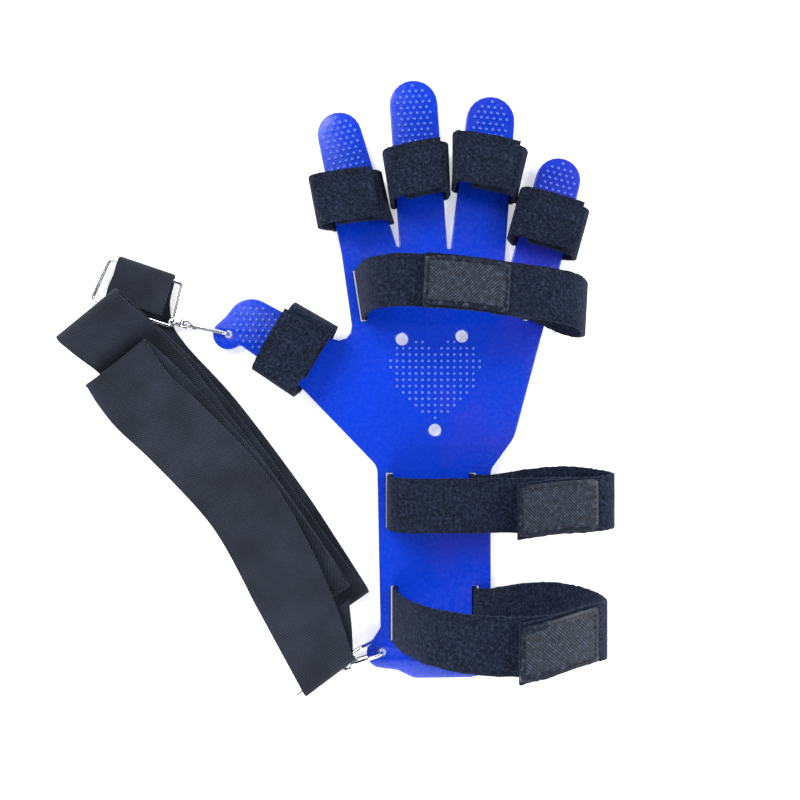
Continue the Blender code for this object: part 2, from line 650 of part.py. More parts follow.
def snap_hook(name, hole, turn, reach, ring):
    """A snap hook with its wire ring, and its gate on a pin. The ring's points are in the world."""
    place = hook_frame(hole, turn, reach)
    back = place.inverted()
    body = bmesh.new()
    block(body, (COLLAR_START, -COLLAR_WIDTH / 2, 0.3 * MM), (COLLAR_END, COLLAR_WIDTH / 2, NOSE_Z + 0.7 * MM))
    bmesh.ops.bevel(body, geom=body.edges[:], offset=0.5 * MM, segments=1, affect="EDGES")
    wire, loop, neck, eye, pin = [bmesh.new() for _ in range(5)]
    tube(wire, hook_wire(reach), WIRE_RADIUS)
    tube(loop, [back @ p for p in ring], RING_WIRE_RADIUS)
    rod(neck, (0, 0, EYE_Z), (COLLAR_START + 1 * MM, 0, EYE_Z), 1.5 * MM, 8)
    bmesh.ops.create_uvsphere(eye, u_segments=10, v_segments=6, radius=EYE_RADIUS,
                              matrix=Matrix.Translation((0, 0, EYE_Z)))
    cheek = GATE_HUB / 2 + GAP
    rod(pin, (PIN_A, -cheek - 0.4 * MM, PIN_Z), (PIN_A, cheek + 0.4 * MM, PIN_Z), PIN_RADIUS)
    slot = bmesh.new()
    block(slot, (PIN_A - 2 * MM, -cheek, PIN_Z - 2.9 * MM), (COLLAR_END + 1 * MM, cheek, NOSE_Z + 2 * MM))
    base = add_object(name, body, "chrome")
    base.matrix_world = place
    steps = [("slot", slot, "DIFFERENCE"), ("pin", pin, "UNION"), ("neck", neck, "UNION"), ("eye", eye, "UNION"),
             ("wire", wire, "UNION"), ("ring", loop, "UNION")]
    for label, shape, operation in steps:
        guide = add_object(name + "_" + label, shape)
        guide.matrix_world = place
        boolean(base, guide, operation)
    snap_gate(name + "_gate", place)


def snap_gate(name, place):
    """The gate: a lever on the pin, whose tip closes under the nose. Its origin is on the pin's axis."""
    at_pin = place @ Matrix.Translation((PIN_A, 0, PIN_Z))
    lip = NOSE_Z - WIRE_RADIUS - GAP - PIN_Z
    hub, arm, bore = [bmesh.new() for _ in range(3)]
    rod(hub, (0, -GATE_HUB / 2, 0), (0, GATE_HUB / 2, 0), 1.5 * MM)
    block(arm, (0, -0.44 * GATE_HUB, lip - 0.74 * GATE_THICK),
          (COLLAR_END - PIN_A + 1.7 * MM, 0.44 * GATE_HUB, lip - 0.1 * GATE_THICK))
    finger_plate = bmesh.new()
    block(finger_plate, (COLLAR_END - PIN_A + 1.2 * MM, -GATE_WIDTH / 2, lip - GATE_THICK),
          (GATE_END - PIN_A, GATE_WIDTH / 2, lip))
    rod(bore, (0, -GATE_HUB, 0), (0, GATE_HUB, 0), PIN_RADIUS + PIN_PLAY)
    joined(name, [hub, arm, finger_plate], [bore], at_pin, "chrome")


def thumb_ring():
    """The thumb hook's ring, lying flat: its bar's middle, the bar's direction, and the way to its far side."""
    along = Vector((0.947, -0.320, 0)).normalized()
    back = Vector((along.y, -along.x, 0))
    origin = hook_frame(thumb_hole(), THUMB_HOOK_TURN, THUMB_REACH).translation
    corner_back = 20.3 * MM
    half = RING_HALF + RING_FLARE * corner_back / RING_DEPTH
    bar = origin - back * corner_back - along * half
    return Vector((bar.x, bar.y, RING_Z)), along, back


def ear_ring():
    """The ear hook's ring, standing steeply: its far side passes through the eye and its bar is up."""
    along = Vector((0.80, 0.60, 0)).normalized()
    flat = Vector((-along.y, along.x, 0))
    eye = hook_frame(ear_hole(), EAR_HOOK_TURN, EAR_REACH).translation
    plan = 0.26 * RING_DEPTH
    rise = math.sqrt(RING_DEPTH ** 2 - plan ** 2)
    back = -(flat * plan + Vector((0, 0, rise))) / RING_DEPTH
    far = Vector((eye.x, eye.y, BOARD_TOP + 2 * GAP + RING_WIRE_RADIUS))
    bar = far - back * RING_DEPTH + along * (0.16 * RING_DEPTH)
    return bar, along, back


def shoulder_webbing():
    """The webbing: one flat band, wrapped round both bars and folded to and fro between them."""
    start, start_along, start_back = thumb_ring()
    end, end_along, _ = ear_ring()
    way = Vector((end.x - start.x, end.y - start.y, 0))
    aside = Vector((way.y, -way.x, 0)).normalized()
    wrap = RING_WIRE_RADIUS + GAP + WEBBING_THICK / 2
    levels = {(0, 2): start.z + wrap, (1, 0): start.z - wrap,
              (5, len(WEBBING_RUNS[5]) - 1): end.z + wrap, (6, 0): end.z - wrap}
    curves = []
    for i, run in enumerate(WEBBING_RUNS):
        points = []
        for k, (share, across, level) in enumerate(run):
            plan = Vector((start.x, start.y, 0)) + way * share + aside * (across * WEBBING_WIDTH)
            z = levels.get((i, k), max(level * FOLD_PITCH, 0.52 * WEBBING_THICK))
            points.append(Vector((plan.x, plan.y, z)))
        curves.append(smooth(points, 3))
    centres, acrosses, widths = [], [], []
    for i, curve in enumerate(curves):
        back_way = 1 if i % 2 else -1
        ends = {0: 1, 6: 1}
        narrow = [ends.get(i, 0)] * len(curve)
        if i == 1:
            narrow = [max(0, 1 - k / 5) for k in range(len(curve))]
        if i == 5:
            narrow = [max(0, 1 - k / 5) for k in range(len(curve))][::-1]
        flats = [Vector((t.x, t.y, 0)).normalized() for t in tangents(curve)]
        sides = [Vector((f.y, -f.x, 0)) * back_way for f in flats]
        if i == 0:
            sides = [-start_along] * len(sides)
        if i == 1:
            for k in range(6):
                sides[k] = (-start_along).lerp(sides[k], k / 6).normalized()
        if i == 5:
            for k in range(4):
                sides[-1 - k] = (-end_along).lerp(sides[-1 - k], k / 4).normalized()
        if i == 6:
            sides = [-end_along] * len(sides)
        if centres:
            low, high = centres[-1], curve[0]
            run = Vector((centres[-1].x - centres[-2].x, centres[-1].y - centres[-2].y, 0)).normalized()
            middle, radius = (low + high) / 2, (low - high).length / 2
            for k in range(1, 6):
                a = math.pi * k / 6
                centres.append(middle + (low - middle) * math.cos(a) + run * (radius * 1.15 * math.sin(a)))
                acrosses.append(last_side.lerp(sides[0], k / 6).normalized())
                widths.append(widths[-1])
        centres += curve
        acrosses += sides
        widths += [WEBBING_WIDTH + (WEBBING_END - WEBBING_WIDTH) * share for share in narrow]
        last_side = sides[-1]
    ribbon("shoulder_webbing", centres, acrosses, widths, WEBBING_THICK, "webbing")


def snap_hooks():
    """Both hooks, each with its ring round the webbing and its wire through a hole of the board."""
    snap_hook("thumb_hook", thumb_hole(), THUMB_HOOK_TURN, THUMB_REACH, ring_loop(*thumb_ring()))
    snap_hook("ear_hook", ear_hole(), EAR_HOOK_TURN, EAR_REACH, ring_loop(*ear_ring()))


def main():
    clear_scene()
    hand_board()
    for name in FINGERS:
        finger_strap(name)
    for name in STRAPS:
        hand_strap(name)
    shoulder_webbing()
    snap_hooks()


main()
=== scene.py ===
"""Dresses the hand and finger splint: moulded board, tape loops, patches, folded webbing and snap hooks."""
import math

import bpy
from bpy.props import FloatProperty, FloatVectorProperty, PointerProperty
from mathutils import Matrix, Vector, noise


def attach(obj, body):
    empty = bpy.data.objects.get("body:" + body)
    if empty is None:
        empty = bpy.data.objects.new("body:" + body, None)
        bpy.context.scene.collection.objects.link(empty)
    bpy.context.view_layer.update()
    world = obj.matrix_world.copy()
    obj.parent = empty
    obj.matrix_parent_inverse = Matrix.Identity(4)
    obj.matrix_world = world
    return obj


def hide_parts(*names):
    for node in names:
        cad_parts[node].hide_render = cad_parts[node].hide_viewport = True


bl_info = {
    "name": "Hand and finger splint",
    "version": (1, 0, 0),
    "blender": (4, 5, 0),
    "location": "3D View > Sidebar > Splint",
    "description": "Builds a hand splint with tape loops and a clipped shoulder webbing",
    "category": "Add Mesh",
}

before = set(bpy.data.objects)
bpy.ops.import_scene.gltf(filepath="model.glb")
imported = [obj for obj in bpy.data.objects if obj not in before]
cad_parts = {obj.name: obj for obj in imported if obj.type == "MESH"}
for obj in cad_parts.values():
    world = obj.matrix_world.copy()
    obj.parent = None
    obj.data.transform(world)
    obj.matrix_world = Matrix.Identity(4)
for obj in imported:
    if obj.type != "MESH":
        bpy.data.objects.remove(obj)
MM = 0.001
GAP = 0.3 * MM
MAIN = "splint"

# The board's measures, as the solids have them
BOARD_LOW, BOARD_TOP = 2.3 * MM, 5.1 * MM
PALM_WIDTH, PALM_LENGTH = 100 * MM, 116 * MM
FOREARM_WIDTH, FOREARM_LENGTH, FOREARM_X = 58.8 * MM, 108.5 * MM, 1.8 * MM
WRIST_Y = 16 * MM
FINGER_WIDTH, FINGER_REACH = 25 * MM, 72 * MM
TAB_RADIUS = 8 * MM
TAPE = 2 * MM
FINGER_TAPE, PALM_TAPE, CUFF_TAPE = 25 * MM, 25 * MM, 27 * MM
PATCH_THICK, PATCH_LENGTH, PATCH_HEM = 1.4 * MM, 40 * MM, 1 * MM
WEBBING_WIDTH, WEBBING_THICK, WEBBING_END, FOLD_PITCH = 37 * MM, 1.5 * MM, 30 * MM, 6 * MM
WIRE, RING_WIRE, RING_DEPTH, RING_CORNER, RING_FLARE = 1 * MM, 1.1 * MM, 23 * MM, 2.5 * MM, 2 * MM
THUMB_REACH, EAR_REACH, COLLAR_WIDTH, GATE_WIDTH, GATE_HUB = 29.5 * MM, 26.5 * MM, 4.2 * MM, 3.4 * MM, 1.6 * MM
LIMB_Z = WIRE + 0.05 * MM
NOSE_Z = BOARD_TOP + GAP + WIRE + 1.1 * MM
EYE_Z, EYE_RADIUS, RING_Z = 4.1 * MM, 2.3 * MM, 3.5 * MM
COLLAR_START, COLLAR_END, PIN_A, PIN_Z = 4 * MM, 9.5 * MM, 7.9 * MM, NOSE_Z - 0.9 * MM
NOSE_A, GATE_END, GATE_THICK = 12 * MM, 13.6 * MM, 1.2 * MM
THUMB_HOOK_TURN, EAR_HOOK_TURN = -13, 18.5
RING_HALF = WEBBING_END / 2 + 5.2 * MM

# Places and slopes of the stage
FLOOR_DROP, FLOOR_SIZE = 0.05 * MM, 6
CAMERA_PLACE, CAMERA_HALF_VIEW = (-16.1 * MM, 52.3 * MM, 405.1 * MM), 208 / 400
SENSOR_WIDTH = 36
LIGHT_SIZE, LIGHT_AIM = 0.6, Vector((0, 0.05, 0))
LIGHTS = (("key", (-0.55, 0.65, 0.75), 9.0), ("fill", (0.75, 0.1, 0.65), 6.0), ("low", (-0.1, -0.75, 0.6), 5.5))

# Patterns on the finishes
HOOK_PITCH, RIB_PITCH, YARN_PITCH = 1.6 * MM, 1.25 * MM, 0.8 * MM

# Fingers: root place as shares of the palm, lean in degrees, reach as a share of FINGER_REACH and tip width as a
# share of FINGER_WIDTH
FINGERS = {
    "index": dict(root=(-0.328, 0.998), lean=-14.1, reach=0.843, tip=0.92),
    "middle": dict(root=(-0.044, 1.020), lean=-3.7, reach=1.0, tip=1.0),
    "ring": dict(root=(0.243, 1.003), lean=5.8, reach=0.911, tip=1.01),
    "little": dict(root=(0.545, 0.931), lean=15.4, reach=0.615, tip=0.93),
    "thumb": dict(root=(-0.583, 0.470), lean=-58.6, reach=0.572, tip=1.04),
}
# Finger straps: place back from the tip centre, reach of the left and right sides, slat's half width and height as
# shares of FINGER_WIDTH, then slant, taper beside the slat and taper higher up in degrees
FINGER_LOOPS = {
    "thumb": dict(back=1.09, sides=(0.755, 0.870), slat=0.585, high=0.88, turn=0.5, taper=3.6, flare=(2.0, 1.0)),
    "index": dict(back=1.46, sides=(0.820, 0.634), slat=0.535, high=0.84, turn=-7.0, taper=2.8, flare=(3.0, -3.0)),
    "middle": dict(back=1.54, sides=(0.625, 0.640), slat=0.510, high=0.92, turn=7.0, taper=0.0, flare=(-5.0, -1.0)),
    "ring": dict(back=1.08, sides=(0.670, 0.745), slat=0.545, high=0.90, turn=-6.0, taper=1.2, flare=(-6.0, -9.0)),
    "little": dict(back=1.02, sides=(0.690, 0.765), slat=0.510, high=0.86, turn=-1.0, taper=1.0, flare=(0.0, 0.0)),
}
# Hand straps: slots as shares of the board's width, then u, z and v along the inner and the outer run as shares of
# the reach, the height and the tape's width
STRAPS = {
    "palm": dict(
        along=("palm", 0.781), width=PALM_TAPE, slots=(-0.369, 0.520), board=PALM_WIDTH, turns=(9.0, -15.0),
        reach=76 * MM, height=46 * MM,
        inner=[(0.60, 0.885, -0.16), (0.30, 0.930, 0.00), (0.00, 0.945, 0.06), (-0.22, 0.905, 0.10),
               (-0.375, 0.760, 0.09), (-0.450, 0.50, 0.03)],
        outer=[(0.735, 0.165, -0.06), (0.80, 0.16, -0.16), (0.880, 0.215, -0.30), (0.955, 0.345, -0.40),
               (0.985, 0.52, -0.42), (0.955, 0.72, -0.36), (0.87, 0.875, -0.27), (0.70, 0.948, -0.18),
               (0.45, 0.992, -0.09), (0.20, 1.008, 0.01), (-0.065, 1.010, 0.07)],
    ),
    "wrist": dict(
        along=("origin", 0.0), width=CUFF_TAPE, slots=(-0.369, 0.369), board=FOREARM_WIDTH, turns=(0.0, 0.0),
        reach=91.3 * MM, height=26.8 * MM,
        inner=[(0.80, 0.885, 0.02), (0.45, 0.895, 0.0), (0.10, 0.925, 0.0), (-0.11, 0.935, 0.0),
               (-0.205, 0.80, 0.0), (-0.238, 0.52, 0.0)],
        outer=[(0.330, 0.262, 0.01), (0.420, 0.14, 0.03), (0.56, 0.056, 0.09),
               (0.72, 0.075, 0.15), (0.87, 0.17, 0.14), (0.97, 0.36, 0.10), (1.0, 0.60, 0.07),
               (0.965, 0.84, 0.055), (0.87, 1.0, 0.04), (0.66, 1.08, 0.00), (0.45, 1.16, -0.08)],
    ),
    "forearm": dict(
        along=("forearm", 0.690), width=CUFF_TAPE, slots=(-0.325, 0.395), board=FOREARM_WIDTH,
        turns=(0.0, 0.0), reach=82.5 * MM, height=63 * MM,
        inner=[(0.80, 0.800, 0.06), (0.62, 0.885, 0.0), (0.40, 0.905, -0.02), (0.16, 0.845, -0.01),
               (-0.03, 0.68, 0.0), (-0.15, 0.46, 0.0), (-0.215, 0.24, 0.0)],
        outer=[(0.375, 0.106, 0.0), (0.47, 0.06, 0.02), (0.62, 0.03, 0.06),
               (0.78, 0.08, 0.10), (0.915, 0.22, 0.10), (0.985, 0.38, 0.08), (1.0, 0.53, 0.07),
               (0.975, 0.67, 0.09), (0.90, 0.79, 0.14), (0.77, 0.885, 0.11), (0.62, 0.955, 0.02),
               (0.45, 0.985, -0.09)],
    ),
}
# Webbing runs between its folds: shares of the way between the bars, shares of WEBBING_WIDTH to the outer side, and
# heights as shares of FOLD_PITCH
WEBBING_RUNS = [
    [(0.064, 0.36, 1.06), (0.034, 0.18, 1.04), (0.0, 0.0, 0.99)],
    [(0.0, 0.0, 0.21), (0.048, 0.29, 0.13), (0.125, 0.50, 0.13), (0.214, 0.45, 0.13), (0.384, 0.15, 0.13),
     (0.629, -0.140, 0.13), (0.792, -0.270, 0.13), (0.900, -0.345, 0.13)],
    [(0.900, -0.345, 1.08), (0.762, -0.181, 1.08), (0.566, 0.019, 1.08), (0.396, 0.214, 1.08), (0.270, 0.40, 1.08),
     (0.195, 0.55, 1.5), (0.130, 0.66, 3.0), (0.080, 0.74, 4.7)],
    [(0.080, 0.74, 5.8), (0.110, 0.70, 4.6), (0.142, 0.65, 3.2), (0.178, 0.60, 2.3), (0.220, 0.53, 2.08),
     (0.300, 0.40, 2.08), (0.592, 0.058, 2.08), (0.789, -0.127, 2.08), (0.855, -0.187, 2.08)],
    [(0.855, -0.187, 3.08), (0.745, -0.110, 3.08), (0.555, 0.085, 3.08), (0.385, 0.36, 3.08), (0.270, 0.58, 3.08),
     (0.195, 0.76, 3.10)],
    [(0.195, 0.76, 4.1), (0.235, 0.735, 4.1), (0.290, 0.66, 4.1), (0.380, 0.45, 4.1), (0.523, 0.17, 4.1),
     (0.620, 0.05, 4.1), (0.744, 0.01, 4.15), (0.90, 0.0, 4.5), (1.0, 0.0, 4.66)],
    [(1.0, 0.0, 3.90), (0.950, -0.12, 3.85), (0.895, -0.24, 3.80)],
]


class SplintSizes(bpy.types.PropertyGroup):
    """Sizes of the finish that a user would change."""

    rim: FloatProperty(name="Board rim", description="Rounding of the board's edges", default=0.7 * MM,
                       unit="LENGTH")
    dot_radius: FloatProperty(name="Dot radius", description="Radius of a raised dot", default=0.85 * MM,
                              unit="LENGTH")
    tape_rim: FloatProperty(name="Tape rim", description="Rounding of the tape's edges", default=0.5 * MM,
                            unit="LENGTH")
    stitch: FloatProperty(name="Stitch", description="Length of one stitch", default=2.6 * MM, unit="LENGTH")


class SplintColours(bpy.types.PropertyGroup):
    """Base colours of the finishes."""

    board: FloatVectorProperty(name="Board", description="Blue of the moulded board", subtype="COLOR", size=3,
                               default=(0.0005, 0.034, 0.50), min=0, max=1)
    tape: FloatVectorProperty(name="Loop tape", description="Black of the loop pile", subtype="COLOR", size=3,
                              default=(0.0066, 0.0102, 0.0250), min=0, max=1)
    patch: FloatVectorProperty(name="Hook tape", description="Black of the stiff patches", subtype="COLOR",
                               size=3, default=(0.0062, 0.0088, 0.0200), min=0, max=1)
    webbing: FloatVectorProperty(name="Webbing", description="Grey navy of the webbing", subtype="COLOR", size=3,
                                 default=(0.0150, 0.0188, 0.0315), min=0, max=1)


def clear_selection():
    """Leave edit mode and deselect everything."""
    if bpy.context.object and bpy.context.object.mode != "OBJECT":
        bpy.ops.object.mode_set(mode="OBJECT")
    bpy.ops.object.select_all(action="DESELECT")


def pick(*things):
    """Select these objects alone, the first one active."""
    clear_selection()
    for thing in things:
        thing.select_set(True)
    bpy.context.view_layer.objects.active = things[0]


def settle(thing, name, finish, node=None, body=MAIN):
    """Name a finished piece, apply its place, give it its finish and hang it on its body."""
    pick(thing)
    bpy.ops.object.transform_apply(location=True, rotation=True, scale=True)
    thing.name = name
    thing.data.materials.clear()
    thing.data.materials.append(finish)
    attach(thing, body)
    if node:
        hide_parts(node)
    return thing


def smooth(points, steps):
    """Points along a smooth curve through the given ones."""
    points = [Vector(p) for p in points]
    ends = [2 * points[0] - points[1]] + points + [2 * points[-1] - points[-2]]
    curve = []
    for i in range(1, len(ends) - 2):
        a, b, c, d = ends[i - 1:i + 3]
        for k in range(steps):
            t = k / steps
            curve.append(0.5 * ((2 * b) + (c - a) * t + (2 * a - 5 * b + 4 * c - d) * t ** 2
                                + (3 * b - a - 3 * c + d) * t ** 3))
    curve.append(points[-1])
    return curve


def tangents(points):
    """The direction of the curve at each point."""
    last = len(points) - 1
    return [(points[min(i + 1, last)] - points[max(i - 1, 0)]).normalized() for i in range(last + 1)]


def palm_point(x, y):
    """A place on the palm, from shares of its width and length."""
    return Vector((x * PALM_WIDTH, WRIST_Y + y * PALM_LENGTH, 0))


def forearm_point(x, y):
    """A place on the forearm, from shares of its half width and its length."""
    return Vector((FOREARM_X + x * FOREARM_WIDTH / 2, WRIST_Y - y * FOREARM_LENGTH, 0))


def finger(name):
    """A slat's tip centre, its direction, the direction to its right, and its tip radius."""
    row = FINGERS[name]
    lean = math.radians(row["lean"])
    along = Vector((math.sin(lean), math.cos(lean), 0))
    right = Vector((along.y, -along.x, 0))
    tip = palm_point(*row["root"]) + along * (row["reach"] * FINGER_REACH)
    return tip, along, right, row["tip"] * FINGER_WIDTH / 2


def thumb_hole():
    """The hole in the tab on the thumb's tip."""
    tip, along, right, radius = finger("thumb")
    return tip + along * (0.58 * radius) - right * (0.84 * radius)


def ear_hole():
    """The hole in the ear at the board's lower left corner."""
    return forearm_point(-1, 0.878) + Vector((0.26 * TAB_RADIUS, 0, 0))


def band(name, centres, acrosses, widths, thick, rim, ripple=0.0, seed=0.0, rows=8):
    """A flat tape: a grid laid along its centre line, thickened, with rounded, slightly ragged edges and metre-true
    UVs.
    """
    clear_selection()
    last = len(centres) - 1
    bpy.ops.mesh.primitive_grid_add(x_subdivisions=rows, y_subdivisions=last, size=1, calc_uvs=True)
    tape = bpy.context.object
    run = [0.0]
    for near, far in zip(centres, centres[1:]):
        run.append(run[-1] + (far - near).length)
    ways = tangents(centres)
    for vertex in tape.data.vertices:
        share = vertex.co.x
        k = round((vertex.co.y + 0.5) * last)
        side = acrosses[k]
        up = ways[k].cross(side).normalized()
        wave = noise.noise(Vector((share * 1.2 + seed, run[k] * 45, seed)))
        edge = 1 + ripple * 0.35 * noise.noise(Vector((seed * 3, run[k] * 60, math.copysign(2, share)))) * abs(share)
        if abs(share) > 0.49:
            edge += ripple * 0.22 * noise.noise(Vector((seed, run[k] * 700, math.copysign(3, share))))
        vertex.co = centres[k] + side * (widths[k] * share * edge) + up * (ripple * MM * wave)
    layer = tape.data.uv_layers.active.data
    for loop in layer:
        k = loop.uv[1] * last
        low = min(int(k), last - 1)
        loop.uv = ((loop.uv[0] - 0.5) * widths[low], run[low] + (k - low) * (run[low + 1] - run[low]))
    wall = tape.modifiers.new("thickness", "SOLIDIFY")
    wall.thickness, wall.offset = thick, 0
    if rim:
        soft = tape.modifiers.new("rim", "BEVEL")
        soft.width, soft.segments, soft.limit_method, soft.angle_limit = rim, 2, "ANGLE", math.radians(50)
    for step in [m.name for m in tape.modifiers]:
        bpy.ops.object.modifier_apply(modifier=step)
    bpy.ops.object.mode_set(mode="EDIT")
    bpy.ops.mesh.select_all(action="SELECT")
    bpy.ops.mesh.normals_make_consistent(inside=False)
    bpy.ops.object.mode_set(mode="OBJECT")
    bpy.ops.object.shade_smooth_by_angle(angle=math.radians(40))
    tape.name = name
    return tape


def new_finish(name, colour, roughness, **sockets):
    """A Principled material with its plain sockets set."""
    made = bpy.data.materials.new(name)
    made.use_nodes = True
    shader = made.node_tree.nodes["Principled BSDF"]
    shader.inputs["Base Color"].default_value = (*colour, 1)
    shader.inputs["Roughness"].default_value = roughness
    for label, value in sockets.items():
        shader.inputs[label.replace("_", " ")].default_value = value
    made.diffuse_color = (*colour, 1)
    return made, made.node_tree, shader


def add_node(tree, kind, inputs=None, **settings):
    """A node with its settings, and its inputs set or linked."""
    made = tree.nodes.new(kind)
    for key, value in settings.items():
        setattr(made, key, value)
    for key, value in (inputs or {}).items():
        if isinstance(value, bpy.types.NodeSocket):
            tree.links.new(value, made.inputs[key])
        else:
            made.inputs[key].default_value = value
    return made


def ramp(tree, factor, stops):
    """A colour ramp through the given stops."""
    made = add_node(tree, "ShaderNodeValToRGB", {0: factor})
    row = made.color_ramp.elements
    while len(row) < len(stops):
        row.new(0.5)
    for element, (place, colour) in zip(row, stops):
        element.position = place
        element.color = (*colour, 1) if len(colour) == 3 else colour
    return made.outputs[0]


def math_node(tree, operation, a, b=0.0):
    """The result of one sum on two values."""
    return add_node(tree, "ShaderNodeMath", {0: a, 1: b}, operation=operation).outputs[0]


def shaded(colour, factor):
    """The colour made lighter or darker."""
    return tuple(min(1, c * factor) for c in colour)


def board_finish(colour):
    """Glossy moulded plastic: faint cloudiness in the blue, a painted violet reflection towards the right, a painted
    highlight on the raised dots, and fine ripples and scuffs in the gloss.
    """
    made, tree, shader = new_finish("blue plastic", colour, 0.24, IOR=1.47, Coat_Weight=0.25, Coat_Roughness=0.10)
    place = add_node(tree, "ShaderNodeTexCoord").outputs["Object"]
    cloud = add_node(tree, "ShaderNodeTexNoise", {"Vector": place, "Scale": 26.0, "Detail": 5.0}).outputs[0]
    aside = add_node(tree, "ShaderNodeSeparateXYZ", {0: place}).outputs[0]
    # Painted reflection: the tint follows the cloud noise and the x place, so the blue turns violet towards the
    # right and lighter towards the left.
    cloud_and_side_reflection = math_node(tree, "ADD", cloud, math_node(tree, "MULTIPLY", aside, 2.2))
    violet_reflection = (colour[0] + 0.020, colour[1] * 0.94, colour[2] * 0.95)
    blue = ramp(tree, cloud_and_side_reflection, [(0.30, shaded(colour, 1.12)), (0.54, colour), (0.76, violet_reflection)])
    # Painted highlight: everything raised above the board's top, the dots, is painted a lighter, brighter blue.
    raised = add_node(tree, "ShaderNodeMapRange", {0: add_node(tree, "ShaderNodeSeparateXYZ", {0: place}).outputs[2],
                                                   1: BOARD_TOP, 2: BOARD_TOP + 0.5 * MM, 3: 0.0, 4: 1.0}).outputs[0]
    dot_highlight = (colour[0] + 0.06, colour[1] * 4.5, min(1, colour[2] * 1.5), 1)
    mixed = add_node(tree, "ShaderNodeMix", data_type="RGBA")
    tree.links.new(raised, mixed.inputs[0])
    tree.links.new(blue, mixed.inputs[6])
    mixed.inputs[7].default_value = dot_highlight
    tree.links.new(mixed.outputs[2], shader.inputs["Base Color"])
    scuff = add_node(tree, "ShaderNodeTexNoise", {"Vector": place, "Scale": 420.0, "Detail": 8.0}).outputs[0]
    rough = add_node(tree, "ShaderNodeMapRange", {0: scuff, 1: 0.35, 2: 0.7, 3: 0.20, 4: 0.36}).outputs[0]
    tree.links.new(rough, shader.inputs["Roughness"])
    swell = add_node(tree, "ShaderNodeTexNoise", {"Vector": place, "Scale": 55.0, "Detail": 2.0}).outputs[0]
    grain = math_node(tree, "ADD", swell, math_node(tree, "MULTIPLY", scuff, 0.05))
    bump = add_node(tree, "ShaderNodeBump", {"Height": grain, "Strength": 0.18, "Distance": 0.0006})
    tree.links.new(bump.outputs[0], shader.inputs["Normal"])
    return made


def tape_finish(colour):
    """Black loop pile: tangled nap with lighter fibre tips and a dusty sheen."""
    made, tree, shader = new_finish("loop tape", colour, 0.9, Sheen_Weight=0.06, Sheen_Roughness=0.5,
                                    Sheen_Tint=(0.55, 0.68, 1.0, 1), Specular_IOR_Level=0.12)
    place = add_node(tree, "ShaderNodeTexCoord").outputs["UV"]
    nap = add_node(tree, "ShaderNodeTexNoise", {"Vector": place, "Scale": 760.0, "Detail": 7.0, "Roughness": 0.62,
                                                "Distortion": 0.8}).outputs[0]
    blotch = add_node(tree, "ShaderNodeTexNoise", {"Vector": place, "Scale": 130.0, "Detail": 4.0}).outputs[0]
    both = math_node(tree, "ADD", math_node(tree, "MULTIPLY", nap, 0.84), math_node(tree, "MULTIPLY", blotch, 0.16))
    tips = tuple(min(1, c * k) for c, k in zip(colour, (3.4, 3.2, 2.6)))
    tree.links.new(ramp(tree, both, [(0.38, shaded(colour, 0.30)), (0.49, shaded(colour, 0.9)), (0.63, tips)]),
                   shader.inputs["Base Color"])
    loops = add_node(tree, "ShaderNodeTexVoronoi", {"Vector": place, "Scale": 900.0}).outputs["Distance"]
    height = math_node(tree, "ADD", nap, math_node(tree, "MULTIPLY", loops, 0.5))
    bump = add_node(tree, "ShaderNodeBump", {"Height": height, "Strength": 1.0, "Distance": 0.0009})
    tree.links.new(bump.outputs[0], shader.inputs["Normal"])
    return made


def patch_finish(colour):
    """Stiff hook tape: rows of fine hooks with painted glints on their tips, inside a smooth sewn-down border."""
    made, tree, shader = new_finish("hook tape", colour, 0.42, Specular_IOR_Level=0.35)
    place = add_node(tree, "ShaderNodeTexCoord").outputs["UV"]
    split = add_node(tree, "ShaderNodeSeparateXYZ", {0: place})
    across, along = split.outputs[0], split.outputs[1]
    rows = [math_node(tree, "SINE", math_node(tree, "MULTIPLY", way, 2 * math.pi / HOOK_PITCH))
            for way in (across, along)]
    grid = math_node(tree, "MULTIPLY", rows[0], rows[1])
    middle = math_node(tree, "ABSOLUTE", math_node(tree, "SUBTRACT", along, PATCH_LENGTH / 2))
    field = math_node(tree, "MULTIPLY",
                      math_node(tree, "LESS_THAN", math_node(tree, "ABSOLUTE", across), PALM_TAPE / 2 - 3.3 * MM),
                      math_node(tree, "LESS_THAN", middle, PATCH_LENGTH / 2 - 2.3 * MM))
    hooks = math_node(tree, "MULTIPLY", grid, field)
    wear = add_node(tree, "ShaderNodeTexNoise", {"Vector": place, "Scale": 420.0, "Detail": 6.0}).outputs[0]
    rubbed = math_node(tree, "ADD", math_node(tree, "MULTIPLY", wear, 0.45), 0.275)
    tone = math_node(tree, "ADD", math_node(tree, "MULTIPLY", hooks, 0.11), rubbed)
    # Painted highlight: the grid's peaks are painted a bright bluish colour as glints on the hooks; the rubbed noise
    # is random wear.
    tips = tuple(min(1, c * k) for c, k in zip(colour, (11.0, 12.5, 9.0)))
    tree.links.new(ramp(tree, tone, [(0.38, shaded(colour, 0.50)), (0.52, colour), (0.66, tips)]),
                   shader.inputs["Base Color"])
    tree.links.new(add_node(tree, "ShaderNodeMapRange", {0: wear, 1: 0.3, 2: 0.7, 3: 0.26, 4: 0.52}).outputs[0],
                   shader.inputs["Roughness"])
    height = math_node(tree, "ADD", hooks, math_node(tree, "MULTIPLY", wear, 0.8))
    bump = add_node(tree, "ShaderNodeBump", {"Height": height, "Strength": 0.8, "Distance": 0.00045})
    tree.links.new(bump.outputs[0], shader.inputs["Normal"])
    return made


